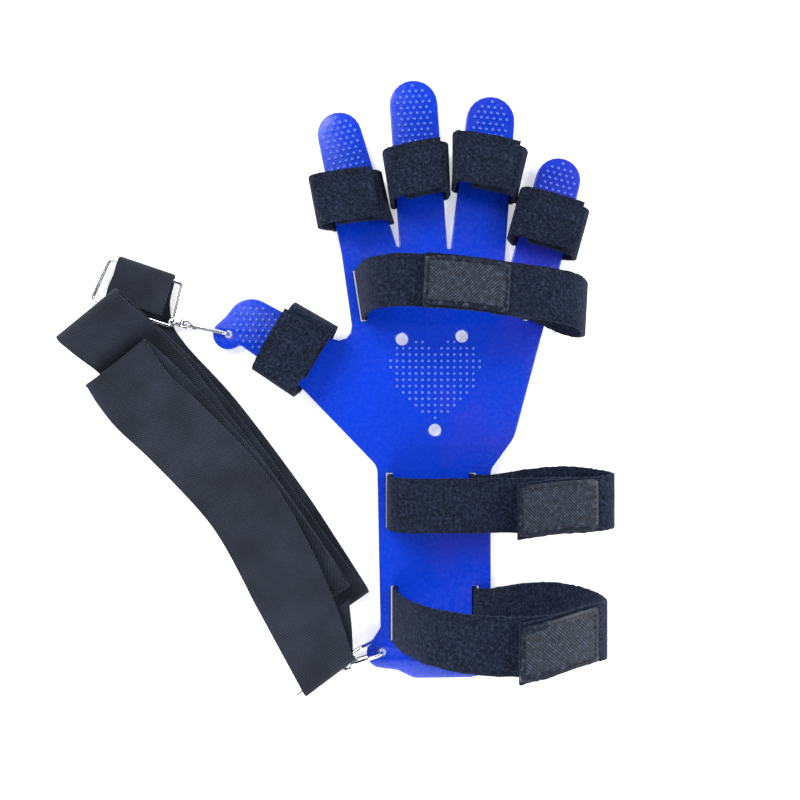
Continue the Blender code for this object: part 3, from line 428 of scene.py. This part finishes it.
def webbing_finish(colour):
    """Twill webbing: fine slanting ribs over crosswise yarns and faint fading."""
    made, tree, shader = new_finish("twill webbing", colour, 0.78, Sheen_Weight=0.04, Sheen_Roughness=0.5,
                                    Specular_IOR_Level=0.22)
    place = add_node(tree, "ShaderNodeTexCoord").outputs["UV"]
    split = add_node(tree, "ShaderNodeSeparateXYZ", {0: place})
    slant = math_node(tree, "ADD", split.outputs[0], math_node(tree, "MULTIPLY", split.outputs[1], 0.6))
    ribs = math_node(tree, "SINE", math_node(tree, "MULTIPLY", slant, 2 * math.pi / RIB_PITCH))
    yarns = math_node(tree, "SINE", math_node(tree, "MULTIPLY", split.outputs[1], 2 * math.pi / YARN_PITCH))
    weave = math_node(tree, "ADD", ribs, math_node(tree, "MULTIPLY", yarns, 0.35))
    fade = add_node(tree, "ShaderNodeTexNoise", {"Vector": place, "Scale": 40.0, "Detail": 5.0}).outputs[0]
    tone = math_node(tree, "ADD", math_node(tree, "MULTIPLY", weave, 0.16), fade)
    tree.links.new(ramp(tree, tone, [(0.3, shaded(colour, 0.45)), (0.52, colour), (0.78, shaded(colour, 1.8))]),
                   shader.inputs["Base Color"])
    bump = add_node(tree, "ShaderNodeBump", {"Height": weave, "Strength": 0.6, "Distance": 0.00035})
    tree.links.new(bump.outputs[0], shader.inputs["Normal"])
    return made


def chrome_finish():
    """Bright plating with hairline scratches and slight dulling."""
    made, tree, shader = new_finish("chrome wire", (0.78, 0.79, 0.81), 0.16, Metallic=1.0)
    place = add_node(tree, "ShaderNodeTexCoord").outputs["Object"]
    marks = add_node(tree, "ShaderNodeTexNoise", {"Vector": place, "Scale": 900.0, "Detail": 6.0}).outputs[0]
    tree.links.new(add_node(tree, "ShaderNodeMapRange", {0: marks, 1: 0.3, 2: 0.75, 3: 0.09, 4: 0.22}).outputs[0],
                   shader.inputs["Roughness"])
    tree.links.new(ramp(tree, marks, [(0.3, (0.70, 0.71, 0.73)), (0.6, (0.82, 0.83, 0.85))]),
                   shader.inputs["Base Color"])
    bump = add_node(tree, "ShaderNodeBump", {"Height": marks, "Strength": 0.04, "Distance": 0.0002})
    tree.links.new(bump.outputs[0], shader.inputs["Normal"])
    return made


def finish_for(name):
    """The named finish, made once."""
    colours = bpy.context.scene.splint_colours
    makers = {"blue plastic": lambda: board_finish(tuple(colours.board)),
              "loop tape": lambda: tape_finish(tuple(colours.tape)),
              "hook tape": lambda: patch_finish(tuple(colours.patch)),
              "twill webbing": lambda: webbing_finish(tuple(colours.webbing)),
              "chrome wire": chrome_finish}
    return bpy.data.materials.get(name) or makers[name]()


class SPLINT_OT_board(bpy.types.Operator):
    """Mould the board with rounded rims, slots, holes and raised dots"""

    bl_idname = "splint.board"
    bl_label = "Board"

    def execute(self, context):
        sizes = context.scene.splint_sizes
        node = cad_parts["hand_board"]
        clear_selection()
        plate = node.copy()
        plate.data = node.data.copy()
        plate.parent = None
        context.scene.collection.objects.link(plate)
        pick(plate)
        peak = max(v.co.z for v in plate.data.vertices)
        tops = {(round(v.co.x, 5), round(v.co.y, 5)) for v in plate.data.vertices if v.co.z > peak - 0.02 * MM}
        bpy.ops.object.mode_set(mode="EDIT")
        bpy.ops.mesh.select_all(action="SELECT")
        bpy.ops.mesh.remove_doubles(threshold=0.000002)
        middle = (BOARD_LOW + BOARD_TOP) / 2
        bpy.ops.mesh.select_all(action="SELECT")
        bpy.ops.mesh.bisect(plane_co=(0, 0, middle), plane_no=(0, 0, 1), clear_inner=True, clear_outer=True)
        bpy.ops.mesh.select_all(action="SELECT")
        bpy.ops.mesh.remove_doubles(threshold=0.00002)
        bpy.ops.mesh.dissolve_limited(angle_limit=math.radians(0.8))
        bpy.ops.object.mode_set(mode="OBJECT")
        bpy.ops.object.convert(target="CURVE")
        outline = context.object
        outline.data.dimensions = "2D"
        outline.data.fill_mode = "BOTH"
        outline.data.offset = -sizes.rim
        outline.data.extrude = (BOARD_TOP - BOARD_LOW) / 2 - sizes.rim
        outline.data.bevel_depth = sizes.rim
        outline.data.bevel_resolution = 3
        outline.location.z = middle
        bpy.ops.object.convert(target="MESH")
        board = context.object
        bpy.ops.object.transform_apply(location=True, rotation=True, scale=True)
        bpy.ops.object.mode_set(mode="EDIT")
        bpy.ops.mesh.select_all(action="SELECT")
        bpy.ops.mesh.remove_doubles(threshold=0.000002)
        bpy.ops.mesh.normals_make_consistent(inside=False)
        bpy.ops.object.mode_set(mode="OBJECT")
        bpy.ops.object.shade_smooth_by_angle(angle=math.radians(35))
        dome = self.dome(sizes.dot_radius, peak - BOARD_TOP)
        domes = []
        for x, y in sorted(tops):
            one = dome.copy()
            one.data = dome.data.copy()
            one.location = (x, y, BOARD_TOP)
            context.scene.collection.objects.link(one)
            domes.append(one)
        bpy.data.objects.remove(dome)
        pick(board, *domes)
        bpy.ops.object.join()
        settle(board, "moulded_board", finish_for("blue plastic"), "hand_board")
        return {"FINISHED"}

    def dome(self, radius, height):
        """One raised dot: the top of a ball, flattened to its height."""
        clear_selection()
        bpy.ops.mesh.primitive_uv_sphere_add(segments=10, ring_count=8, radius=radius)
        dome = bpy.context.object
        bpy.ops.object.mode_set(mode="EDIT")
        bpy.ops.mesh.select_all(action="SELECT")
        bpy.ops.mesh.bisect(plane_co=(0, 0, -0.1 * radius), plane_no=(0, 0, 1), clear_inner=True, use_fill=True)
        bpy.ops.mesh.select_all(action="SELECT")
        bpy.ops.transform.resize(value=(1, 1, height / radius))
        bpy.ops.object.mode_set(mode="OBJECT")
        bpy.ops.object.shade_smooth()
        return dome


def finger_band(name):
    """A finger tape's centre line and across directions: once and a half round the slat."""
    tip, along, right, _ = finger(name)
    row = FINGER_LOOPS[name]
    left_side, right_side = row["sides"]
    across = (right_side - left_side) / 2 * FINGER_WIDTH
    middle = tip - along * (row["back"] * FINGER_WIDTH) + right * across
    slant = math.tan(math.radians(row["turn"]))
    slat = row["slat"] * FINGER_WIDTH + GAP + TAPE / 2
    wide = (left_side + right_side) / 2 * FINGER_WIDTH - TAPE / 2
    low = TAPE / 2
    high = row["high"] * FINGER_WIDTH - 1.5 * TAPE - GAP
    rise, layer, crown = high - low, TAPE + GAP, 0.04 * FINGER_WIDTH

    def side(sign, extra):
        """One side from the under-run up to the top, with the outer layer's growth."""
        near = min(slat - sign * across, wide)
        shape = [(near - 0.95 * TAPE, 0.0, 0.0), (near - 0.3 * TAPE, 0.013, 0.0), (near, 0.085, 0.0),
                 (near + 0.7 * (wide - near), 0.28, 0.15), (wide, 0.50, 0.45), (wide - 0.06 * wide, 0.76, 0.85),
                 (wide - 0.17 * wide, 0.93, 1.0), (wide - 0.36 * wide, 1.0, 1.0)]
        return [(sign * (u + extra * g), low + rise * z + extra * g) for u, z, g in shape]

    edge = 0.64 * wide
    inner = [(u * edge, high + crown * (1 - u * u)) for u in (-0.85, -0.4, 0.0, 0.4)]
    outer = [(u * edge, high + layer + crown * (1 - u * u)) for u in (-0.5, 0.0, 0.5, 1.0, 1.15)]
    profile = inner + side(1, 0)[::-1] + side(-1, layer) + outer
    centres, acrosses = [], []
    fine = smooth([(u, 0, z) for u, z in profile], 7)
    for k, point in enumerate(fine):
        shift = 0.07 * FINGER_TAPE * (k / (len(fine) - 1) - 0.5)
        centres.append(middle + right * point.x + along * (point.x * slant + shift) + Vector((0, 0, point.z)))
        raised = min(1, max(0, point.z - BOARD_TOP) / (0.35 * rise))
        taper = row["taper"] + (row["flare"][point.x > 0] - row["taper"]) * raised
        acrosses.append(Matrix.Rotation(math.radians(taper * point.x / wide), 3, "Z") @ along)
    return centres, acrosses


class SPLINT_OT_finger_straps(bpy.types.Operator):
    """Wind the loop tape round each finger slat"""

    bl_idname = "splint.finger_straps"
    bl_label = "Finger straps"

    def execute(self, context):
        for k, name in enumerate(FINGERS):
            centres, acrosses = finger_band(name)
            tape = band(name, centres, acrosses, [FINGER_TAPE] * len(centres), TAPE,
                        context.scene.splint_sizes.tape_rim, 0.12, 3.7 * k)
            settle(tape, name + "_loop_tape", finish_for("loop tape"), name + "_strap")
        return {"FINISHED"}


def strap_middle(row):
    """The middle of a hand strap on the board."""
    zone, share = row["along"]
    if zone == "palm":
        return Vector((0, palm_point(0, share).y, 0))
    if zone == "forearm":
        return Vector((0, forearm_point(0, share).y, 0))
    return Vector((0, 0, 0))


def strap_path(row, steps=9):
    """A hand strap's centre line and across directions, from its inner end to its outer end."""
    reach, height, width = row["reach"], row["height"], row["width"]
    left, right = [share * row["board"] for share in row["slots"]]
    turns = row["turns"]
    low, bend, roll = TAPE / 2, 0.6 * TAPE, 0.95 * TAPE
    inner = [Vector((u * reach, v * width, z * height)) for u, z, v in row["inner"]]
    outer = [Vector((u * reach, v * width, z * height)) for u, z, v in row["outer"]]
    path = []
    curve = smooth(inner + [Vector((left, 0, BOARD_TOP))], steps)
    for k, point in enumerate(curve):
        path.append((point, turns[0] * max(0, 2 * k / (len(curve) - 1) - 1)))
    for u, z, turn in ((left, low + bend, 0), (left + 0.3 * bend, low + 0.3 * bend, 0), (left + bend, low, 0),
                       (right - bend, low, 1), (right - 0.3 * bend, low + 0.3 * bend, 1), (right, low + bend, 1),
                       (right, BOARD_TOP - 0.2 * roll, 1), (right + 0.3 * roll, BOARD_TOP + 0.5 * roll, 1)):
        path.append((Vector((u, 0, z)), turns[turn]))
    curve = smooth([Vector((right + roll, 0, BOARD_TOP + 0.78 * roll))] + outer, steps)
    for k, point in enumerate(curve):
        path.append((point, turns[1] * max(0.2, 1 - 2 * k / (len(curve) - 1))))
    middle = strap_middle(row)
    centres = [middle + point for point, _ in path]
    acrosses = [Matrix.Rotation(math.radians(turn), 3, "Z") @ Vector((0, 1, 0)) for _, turn in path]
    return centres, acrosses


def patch_path(centres, acrosses):
    """The centre line of the patch on a strap's outer end, above the tape."""
    rise = TAPE / 2 + GAP + PATCH_THICK / 2
    raised = []
    for centre, run, across in zip(centres, tangents(centres), acrosses):
        up = run.cross(across).normalized()
        raised.append(centre + up * math.copysign(rise, up.z))
    raised.reverse()
    path, ways, run = [raised[0]], [acrosses[-1]], 0
    for k in range(1, len(raised)):
        step = (raised[k] - raised[k - 1]).length
        if run + step >= PATCH_LENGTH:
            path.append(raised[k - 1].lerp(raised[k], (PATCH_LENGTH - run) / step))
            ways.append(acrosses[-1 - k])
            break
        run += step
        path.append(raised[k])
        ways.append(acrosses[-1 - k])
    return path, ways


def stitches(path, ways, width, pitch, inset, lift):
    """A row of sewn stitches round a patch, joined into one mesh."""
    clear_selection()
    bpy.ops.mesh.primitive_cylinder_add(vertices=6, radius=0.16 * MM, depth=0.62 * pitch, end_fill_type="TRIFAN")
    thread = bpy.context.object
    ups = [way.cross(across).normalized() for way, across in zip(tangents(path), ways)]
    ups = [up if up.z > 0 else -up for up in ups]
    run = [0.0]
    for near, far in zip(path, path[1:]):
        run.append(run[-1] + (far - near).length)

    def at(distance, aside):
        """A place on the patch, from the run along it and the shift across it."""
        k = max(0, min(len(run) - 2, next((i for i, r in enumerate(run[1:]) if r >= distance), len(run) - 2)))
        t = (distance - run[k]) / max(run[k + 1] - run[k], 1e-9)
        return path[k].lerp(path[k + 1], t) + ways[k] * aside + ups[k].lerp(ups[k + 1], t) * lift

    half, total = width / 2 - inset, run[-1]
    places = []
    count = int((total - 2 * inset) / pitch)
    for k in range(count):
        a, b = inset + (k + 0.2) * pitch, inset + (k + 0.82) * pitch
        for sign in (-1, 1):
            places.append((at(a, sign * half), at(b, sign * half)))
    count = int(2 * half / pitch)
    for k in range(count):
        a, b = -half + (k + 0.2) * pitch, -half + (k + 0.82) * pitch
        for distance in (inset, total - inset):
            places.append((at(distance, a), at(distance, b)))
    rows = []
    for start, end in places:
        one = thread.copy()
        one.data = thread.data.copy()
        turn = (end - start).to_track_quat("Z", "Y").to_matrix().to_4x4()
        one.matrix_world = Matrix.Translation((start + end) / 2) @ turn
        bpy.context.scene.collection.objects.link(one)
        rows.append(one)
    bpy.data.objects.remove(thread)
    pick(*rows)
    bpy.ops.object.join()
    bpy.ops.object.shade_smooth()
    return bpy.context.object


class SPLINT_OT_hand_straps(bpy.types.Operator):
    """Lead the wide tapes through their slots and sew the hook patches on their ends"""

    bl_idname = "splint.hand_straps"
    bl_label = "Hand straps"

    def execute(self, context):
        sizes = context.scene.splint_sizes
        for k, (name, row) in enumerate(STRAPS.items()):
            centres, acrosses = strap_path(row)
            tape = band(name, centres, acrosses, [row["width"]] * len(centres), TAPE, sizes.tape_rim, 0.15, 5.3 * k)
            settle(tape, name + "_loop_tape", finish_for("loop tape"), name + "_strap")
            path, ways = patch_path(centres, acrosses)
            width = row["width"] - 2 * PATCH_HEM
            widths = [width - 2 * PATCH_HEM * max(0, 1 - min(i, len(path) - 1 - i) / 2) for i in range(len(path))]
            patch = band(name + "_p", path, ways, widths, PATCH_THICK, 0.35 * MM)
            thread = stitches(path, ways, width, sizes.stitch, 1.8 * MM, PATCH_THICK / 2 + 0.05 * MM)
            settle(patch, name + "_hook_tape", finish_for("hook tape"), name + "_patch")
            settle(thread, name + "_stitches", finish_for("loop tape"))
        return {"FINISHED"}


def hook_frame(hole, turn, reach):
    """The hook's own frame: its origin lies under the eye, on the surface."""
    turned = Matrix.Rotation(math.radians(turn), 4, "Z")
    return Matrix.Translation(hole - turned @ Vector((reach, 0, 0))) @ turned


def thumb_ring():
    """The thumb hook's ring, lying flat: its bar's middle, the bar's direction and the way to its far side."""
    along = Vector((0.947, -0.320, 0)).normalized()
    back = Vector((along.y, -along.x, 0))
    corner_back = 20.3 * MM
    half = RING_HALF + RING_FLARE * corner_back / RING_DEPTH
    bar = hook_frame(thumb_hole(), THUMB_HOOK_TURN, THUMB_REACH).translation - back * corner_back - along * half
    return Vector((bar.x, bar.y, RING_Z)), along, back


def ear_ring():
    """The ear hook's ring, standing steeply over the eye."""
    along = Vector((0.80, 0.60, 0)).normalized()
    flat = Vector((-along.y, along.x, 0))
    eye = hook_frame(ear_hole(), EAR_HOOK_TURN, EAR_REACH).translation
    plan = 0.26 * RING_DEPTH
    back = -(flat * plan + Vector((0, 0, math.sqrt(RING_DEPTH ** 2 - plan ** 2)))) / RING_DEPTH
    far = Vector((eye.x, eye.y, BOARD_TOP + 2 * GAP + RING_WIRE))
    return far - back * RING_DEPTH + along * (0.16 * RING_DEPTH), along, back


def ring_loop(centre, along, back):
    """The wire loop's corners, rounded."""
    far = RING_HALF + RING_FLARE
    corners = [centre - along * RING_HALF, centre + along * RING_HALF,
               centre + along * far + back * RING_DEPTH, centre - along * far + back * RING_DEPTH]
    points = []
    for i, point in enumerate(corners):
        before, after = corners[i - 1], corners[(i + 1) % 4]
        start = point + (before - point).normalized() * RING_CORNER
        end = point + (after - point).normalized() * RING_CORNER
        for k in range(9):
            t = k / 8
            points.append(start * (1 - t) ** 2 + point * (2 * t * (1 - t)) + end * t ** 2)
    return points


def webbing_path(steps=8):
    """The webbing's centre line, across directions and widths, from its sewn end to its tail."""
    start, start_along, _ = thumb_ring()
    end, end_along, _ = ear_ring()
    way = Vector((end.x - start.x, end.y - start.y, 0))
    aside = Vector((way.y, -way.x, 0)).normalized()
    wrap = RING_WIRE + GAP + WEBBING_THICK / 2
    levels = {(0, 2): start.z + wrap, (1, 0): start.z - wrap,
              (5, len(WEBBING_RUNS[5]) - 1): end.z + wrap, (6, 0): end.z - wrap}
    centres, acrosses, widths = [], [], []
    for i, run in enumerate(WEBBING_RUNS):
        points = []
        for k, (share, across, level) in enumerate(run):
            plan = Vector((start.x, start.y, 0)) + way * share + aside * (across * WEBBING_WIDTH)
            z = levels.get((i, k), max(level * FOLD_PITCH, 0.52 * WEBBING_THICK))
            points.append(Vector((plan.x, plan.y, z)))
        curve = smooth(points, steps)
        count = len(curve)
        sign = 1 if i % 2 else -1
        flats = [Vector((t.x, t.y, 0)).normalized() for t in tangents(curve)]
        sides = [Vector((f.y, -f.x, 0)) * sign for f in flats]
        narrow = [1.0 if i in (0, 6) else 0.0] * count
        fade = 2 * steps
        if i == 0:
            sides = [-start_along] * count
        if i == 6:
            sides = [-end_along] * count
        if i == 1:
            for k in range(fade):
                sides[k] = (-start_along).lerp(sides[k], k / fade).normalized()
            narrow = [max(0, 1 - k / (1.7 * steps)) for k in range(count)]
        if i == 5:
            for k in range(fade):
                sides[-1 - k] = (-end_along).lerp(sides[-1 - k], min(1, k / (1.3 * steps))).normalized()
            narrow = [max(0, 1 - k / (1.7 * steps)) for k in range(count)][::-1]
        if centres:
            low, high = centres[-1], curve[0]
            ahead = Vector((centres[-1].x - centres[-2].x, centres[-1].y - centres[-2].y, 0)).normalized()
            middle, radius = (low + high) / 2, (low - high).length / 2
            for k in range(1, 12):
                a = math.pi * k / 12
                centres.append(middle + (low - middle) * math.cos(a) + ahead * (radius * 1.15 * math.sin(a)))
                acrosses.append(acrosses_end.lerp(sides[0], k / 12).normalized())
                widths.append(widths[-1])
        centres += curve
        acrosses += sides
        widths += [WEBBING_WIDTH + (WEBBING_END - WEBBING_WIDTH) * share for share in narrow]
        acrosses_end = sides[-1]
    return centres, acrosses, widths


class SPLINT_OT_webbing(bpy.types.Operator):
    """Fold the shoulder webbing to and fro between the hooks' rings"""

    bl_idname = "splint.webbing"
    bl_label = "Shoulder webbing"

    def execute(self, context):
        centres, acrosses, widths = webbing_path()
        webbing = band("webbing", centres, acrosses, widths, WEBBING_THICK, 0.35 * MM, 0.0, 1.0, rows=10)
        settle(webbing, "twill_webbing", finish_for("twill webbing"), "shoulder_webbing")
        return {"FINISHED"}


def wire_piece(points, radius, closed):
    """A round wire along a curve."""
    clear_selection()
    line = bpy.data.curves.new("wire", "CURVE")
    line.dimensions = "3D"
    line.bevel_depth = radius
    line.bevel_resolution = 4
    line.use_fill_caps = True
    spline = line.splines.new("POLY")
    spline.points.add(len(points) - 1)
    for spot, point in zip(spline.points, points):
        spot.co = (*point, 1)
    spline.use_cyclic_u = closed
    wire = bpy.data.objects.new("wire", line)
    bpy.context.scene.collection.objects.link(wire)
    pick(wire)
    bpy.ops.object.convert(target="MESH")
    bpy.ops.object.shade_smooth()
    return bpy.context.object


def ball(place, at, radii):
    """A smooth ball in the hook's frame."""
    clear_selection()
    bpy.ops.mesh.primitive_uv_sphere_add(segments=24, ring_count=16, radius=1)
    made = bpy.context.object
    made.matrix_world = place @ Matrix.Translation(at) @ Matrix.Diagonal((*radii, 1))
    bpy.ops.object.transform_apply(location=True, rotation=True, scale=True)
    bpy.ops.object.shade_smooth()
    return made


def rounded_block(place, low, high, rim, sides=3):
    """A block with rounded edges in the hook's frame."""
    clear_selection()
    low, high = Vector(low), Vector(high)
    bpy.ops.mesh.primitive_cube_add(size=1)
    made = bpy.context.object
    made.matrix_world = Matrix.Translation((low + high) / 2) @ Matrix.Diagonal((*(high - low), 1))
    bpy.ops.object.transform_apply(location=True, rotation=True, scale=True)
    bpy.ops.object.mode_set(mode="EDIT")
    bpy.ops.mesh.select_all(action="SELECT")
    bpy.ops.mesh.bevel(offset=rim, segments=sides)
    bpy.ops.object.mode_set(mode="OBJECT")
    made.matrix_world = place
    bpy.ops.object.transform_apply(location=True, rotation=True, scale=True)
    bpy.ops.object.shade_smooth_by_angle(angle=math.radians(40))
    return made


def barrel(place, start, end, radius, sides=24):
    """A round bar between two points of the hook's frame, with rounded ends."""
    clear_selection()
    start, end = Vector(start), Vector(end)
    bpy.ops.mesh.primitive_cylinder_add(vertices=sides, radius=radius, depth=(end - start).length)
    made = bpy.context.object
    bpy.ops.object.mode_set(mode="EDIT")
    bpy.ops.mesh.select_all(action="SELECT")
    bpy.ops.mesh.edges_select_sharp(sharpness=math.radians(60))
    bpy.ops.mesh.bevel(offset=0.15 * radius, segments=2)
    bpy.ops.object.mode_set(mode="OBJECT")
    turn = (end - start).to_track_quat("Z", "Y").to_matrix().to_4x4()
    made.matrix_world = place @ Matrix.Translation((start + end) / 2) @ turn
    bpy.ops.object.transform_apply(location=True, rotation=True, scale=True)
    bpy.ops.object.shade_smooth_by_angle(angle=math.radians(40))
    return made


def hook_wire(reach):
    """The bent wire in the hook's frame: under the tab, up through its hole and back to the nose."""
    rise, fall = 1.6 * MM, 2.2 * MM
    points = [Vector((COLLAR_START + 1.5 * MM, 0, LIMB_Z))]
    for k in range(9):
        a = math.radians(90 * k / 8)
        points.append(Vector((reach - rise + rise * math.sin(a), 0, LIMB_Z + rise - rise * math.cos(a))))
    for k in range(11):
        a = math.radians(90 * k / 10)
        points.append(Vector((reach - fall + fall * math.cos(a), 0, NOSE_Z - fall + fall * math.sin(a))))
    return points + [Vector((NOSE_A, 0, NOSE_Z))]


class SPLINT_OT_hooks(bpy.types.Operator):
    """Bend the snap hooks with their rings and gates"""

    bl_idname = "splint.hooks"
    bl_label = "Snap hooks"

    def execute(self, context):
        for name, hole, turn, reach, ring in (("thumb", thumb_hole(), THUMB_HOOK_TURN, THUMB_REACH, thumb_ring()),
                                              ("ear", ear_hole(), EAR_HOOK_TURN, EAR_REACH, ear_ring())):
            self.hook(name, hook_frame(hole, turn, reach), reach, ring_loop(*ring))
        return {"FINISHED"}

    def hook(self, name, place, reach, ring):
        """One hook with its ring, collar and gate."""
        cheek = GATE_HUB / 2 + GAP
        half = COLLAR_WIDTH / 2
        top = NOSE_Z + 0.7 * MM
        parts = [wire_piece([place @ p for p in hook_wire(reach)], WIRE, False), wire_piece(ring, RING_WIRE, True),
                 ball(place, (0, 0, EYE_Z), (EYE_RADIUS * 1.12, EYE_RADIUS, EYE_RADIUS * 0.95)),
                 barrel(place, (0, 0, EYE_Z), (COLLAR_START + 0.6 * MM, 0, EYE_Z), 1.5 * MM),
                 barrel(place, (COLLAR_START - 1.2 * MM, 0, EYE_Z), (COLLAR_START - 0.3 * MM, 0, EYE_Z), 2.0 * MM),
                 rounded_block(place, (COLLAR_START, -half, 0.3 * MM), (PIN_A - 2 * MM, half, top), 0.5 * MM),
                 rounded_block(place, (PIN_A - 2.6 * MM, -half, 0.3 * MM), (COLLAR_END, half, PIN_Z - 2.9 * MM),
                               0.5 * MM),
                 rounded_block(place, (PIN_A - 2.6 * MM, cheek, 0.35 * MM), (COLLAR_END, half, top), 0.35 * MM),
                 rounded_block(place, (PIN_A - 2.6 * MM, -half, 0.35 * MM), (COLLAR_END, -cheek, top), 0.35 * MM),
                 barrel(place, (PIN_A, -half - 0.25 * MM, PIN_Z), (PIN_A, half + 0.25 * MM, PIN_Z), 0.6 * MM)]
        pick(*parts)
        bpy.ops.object.join()
        settle(bpy.context.object, name + "_hook_wire", finish_for("chrome wire"), name + "_hook")
        lip = NOSE_Z - WIRE - GAP
        gate = [barrel(place, (PIN_A, -GATE_HUB / 2, PIN_Z), (PIN_A, GATE_HUB / 2, PIN_Z), 1.5 * MM),
                rounded_block(place, (PIN_A + 0.6 * MM, -GATE_HUB / 2, lip - GATE_THICK),
                              (COLLAR_END + 1.7 * MM, GATE_HUB / 2, lip), 0.2 * MM),
                rounded_block(place, (COLLAR_END + 1.2 * MM, -GATE_WIDTH / 2, lip - GATE_THICK),
                              (GATE_END, GATE_WIDTH / 2, lip), 0.4 * MM)]
        pick(*gate)
        bpy.ops.object.join()
        settle(bpy.context.object, name + "_gate_lever", finish_for("chrome wire"), name + "_hook_gate",
               body=name + "_gate")


class SPLINT_OT_stage(bpy.types.Operator):
    """Set the pale floor, the soft lights and the camera straight above"""

    bl_idname = "splint.stage"
    bl_label = "Stage"

    def execute(self, context):
        clear_selection()
        bpy.ops.mesh.primitive_plane_add(size=FLOOR_SIZE, location=(0, 0, -FLOOR_DROP))
        floor = context.object
        bpy.ops.object.transform_apply(location=True, rotation=True, scale=True)
        floor.name = "floor"
        pale, tree, shader = new_finish("pale floor", (0.90, 0.90, 0.90), 0.75, Emission_Strength=0.45)
        place = add_node(tree, "ShaderNodeTexCoord").outputs["Object"]
        tone = add_node(tree, "ShaderNodeTexNoise", {"Vector": place, "Scale": 3.0}).outputs[0]
        tree.links.new(ramp(tree, tone, [(0.3, (0.88, 0.88, 0.89)), (0.7, (0.91, 0.91, 0.91))]),
                       shader.inputs["Base Color"])
        shader.inputs["Emission Color"].default_value = (1, 1, 1, 1)
        floor.data.materials.append(pale)
        for name, spot, power in LIGHTS:
            light = bpy.data.lights.new(name, "AREA")
            light.size = LIGHT_SIZE
            light.energy = power
            lamp = bpy.data.objects.new(name, light)
            context.scene.collection.objects.link(lamp)
            lamp.location = spot
            lamp.rotation_euler = (LIGHT_AIM - Vector(spot)).to_track_quat("-Z", "Y").to_euler()
        world = bpy.data.worlds.new("studio")
        context.scene.world = world
        world.use_nodes = True
        tree = world.node_tree
        way = add_node(tree, "ShaderNodeTexCoord").outputs["Generated"]
        height = add_node(tree, "ShaderNodeSeparateXYZ", {0: way}).outputs[2]
        sky = ramp(tree, height, [(0.45, (1.15, 1.18, 1.25)), (0.86, (0.10, 0.11, 0.14))])
        tree.links.new(sky, tree.nodes["Background"].inputs[0])
        tree.nodes["Background"].inputs[1].default_value = 1.0
        camera = bpy.data.objects.new("camera", bpy.data.cameras.new("camera"))
        context.scene.collection.objects.link(camera)
        camera.location = CAMERA_PLACE
        camera.data.sensor_width = SENSOR_WIDTH
        camera.data.lens = SENSOR_WIDTH / 2 / CAMERA_HALF_VIEW
        camera.data.clip_start = 0.01
        context.scene.camera = camera
        context.scene.view_settings.view_transform = "Standard"
        return {"FINISHED"}


class SPLINT_PT_panel(bpy.types.Panel):
    """Lists the sizes, the colours and the pieces"""

    bl_idname = "SPLINT_PT_panel"
    bl_label = "Hand splint"
    bl_space_type = "VIEW_3D"
    bl_region_type = "UI"
    bl_category = "Splint"

    def draw(self, context):
        for group in (context.scene.splint_sizes, context.scene.splint_colours):
            for key in group.__annotations__:
                self.layout.prop(group, key)
        for piece in PIECES:
            self.layout.operator(piece.bl_idname)


PIECES = (SPLINT_OT_board, SPLINT_OT_finger_straps, SPLINT_OT_hand_straps, SPLINT_OT_webbing, SPLINT_OT_hooks,
          SPLINT_OT_stage)
CLASSES = (SplintSizes, SplintColours, *PIECES, SPLINT_PT_panel)


def register():
    """Add the classes and their settings."""
    for item in CLASSES:
        bpy.utils.register_class(item)
    bpy.types.Scene.splint_sizes = PointerProperty(type=SplintSizes)
    bpy.types.Scene.splint_colours = PointerProperty(type=SplintColours)


def unregister():
    """Take the classes and their settings away again."""
    del bpy.types.Scene.splint_sizes
    del bpy.types.Scene.splint_colours
    for item in reversed(CLASSES):
        bpy.utils.unregister_class(item)


def main():
    """Make every piece in order."""
    register()
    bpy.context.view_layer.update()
    for piece in PIECES:
        group, name = piece.bl_idname.split(".")
        getattr(getattr(bpy.ops, group), name)()


if __name__ == "__main__":
    main()
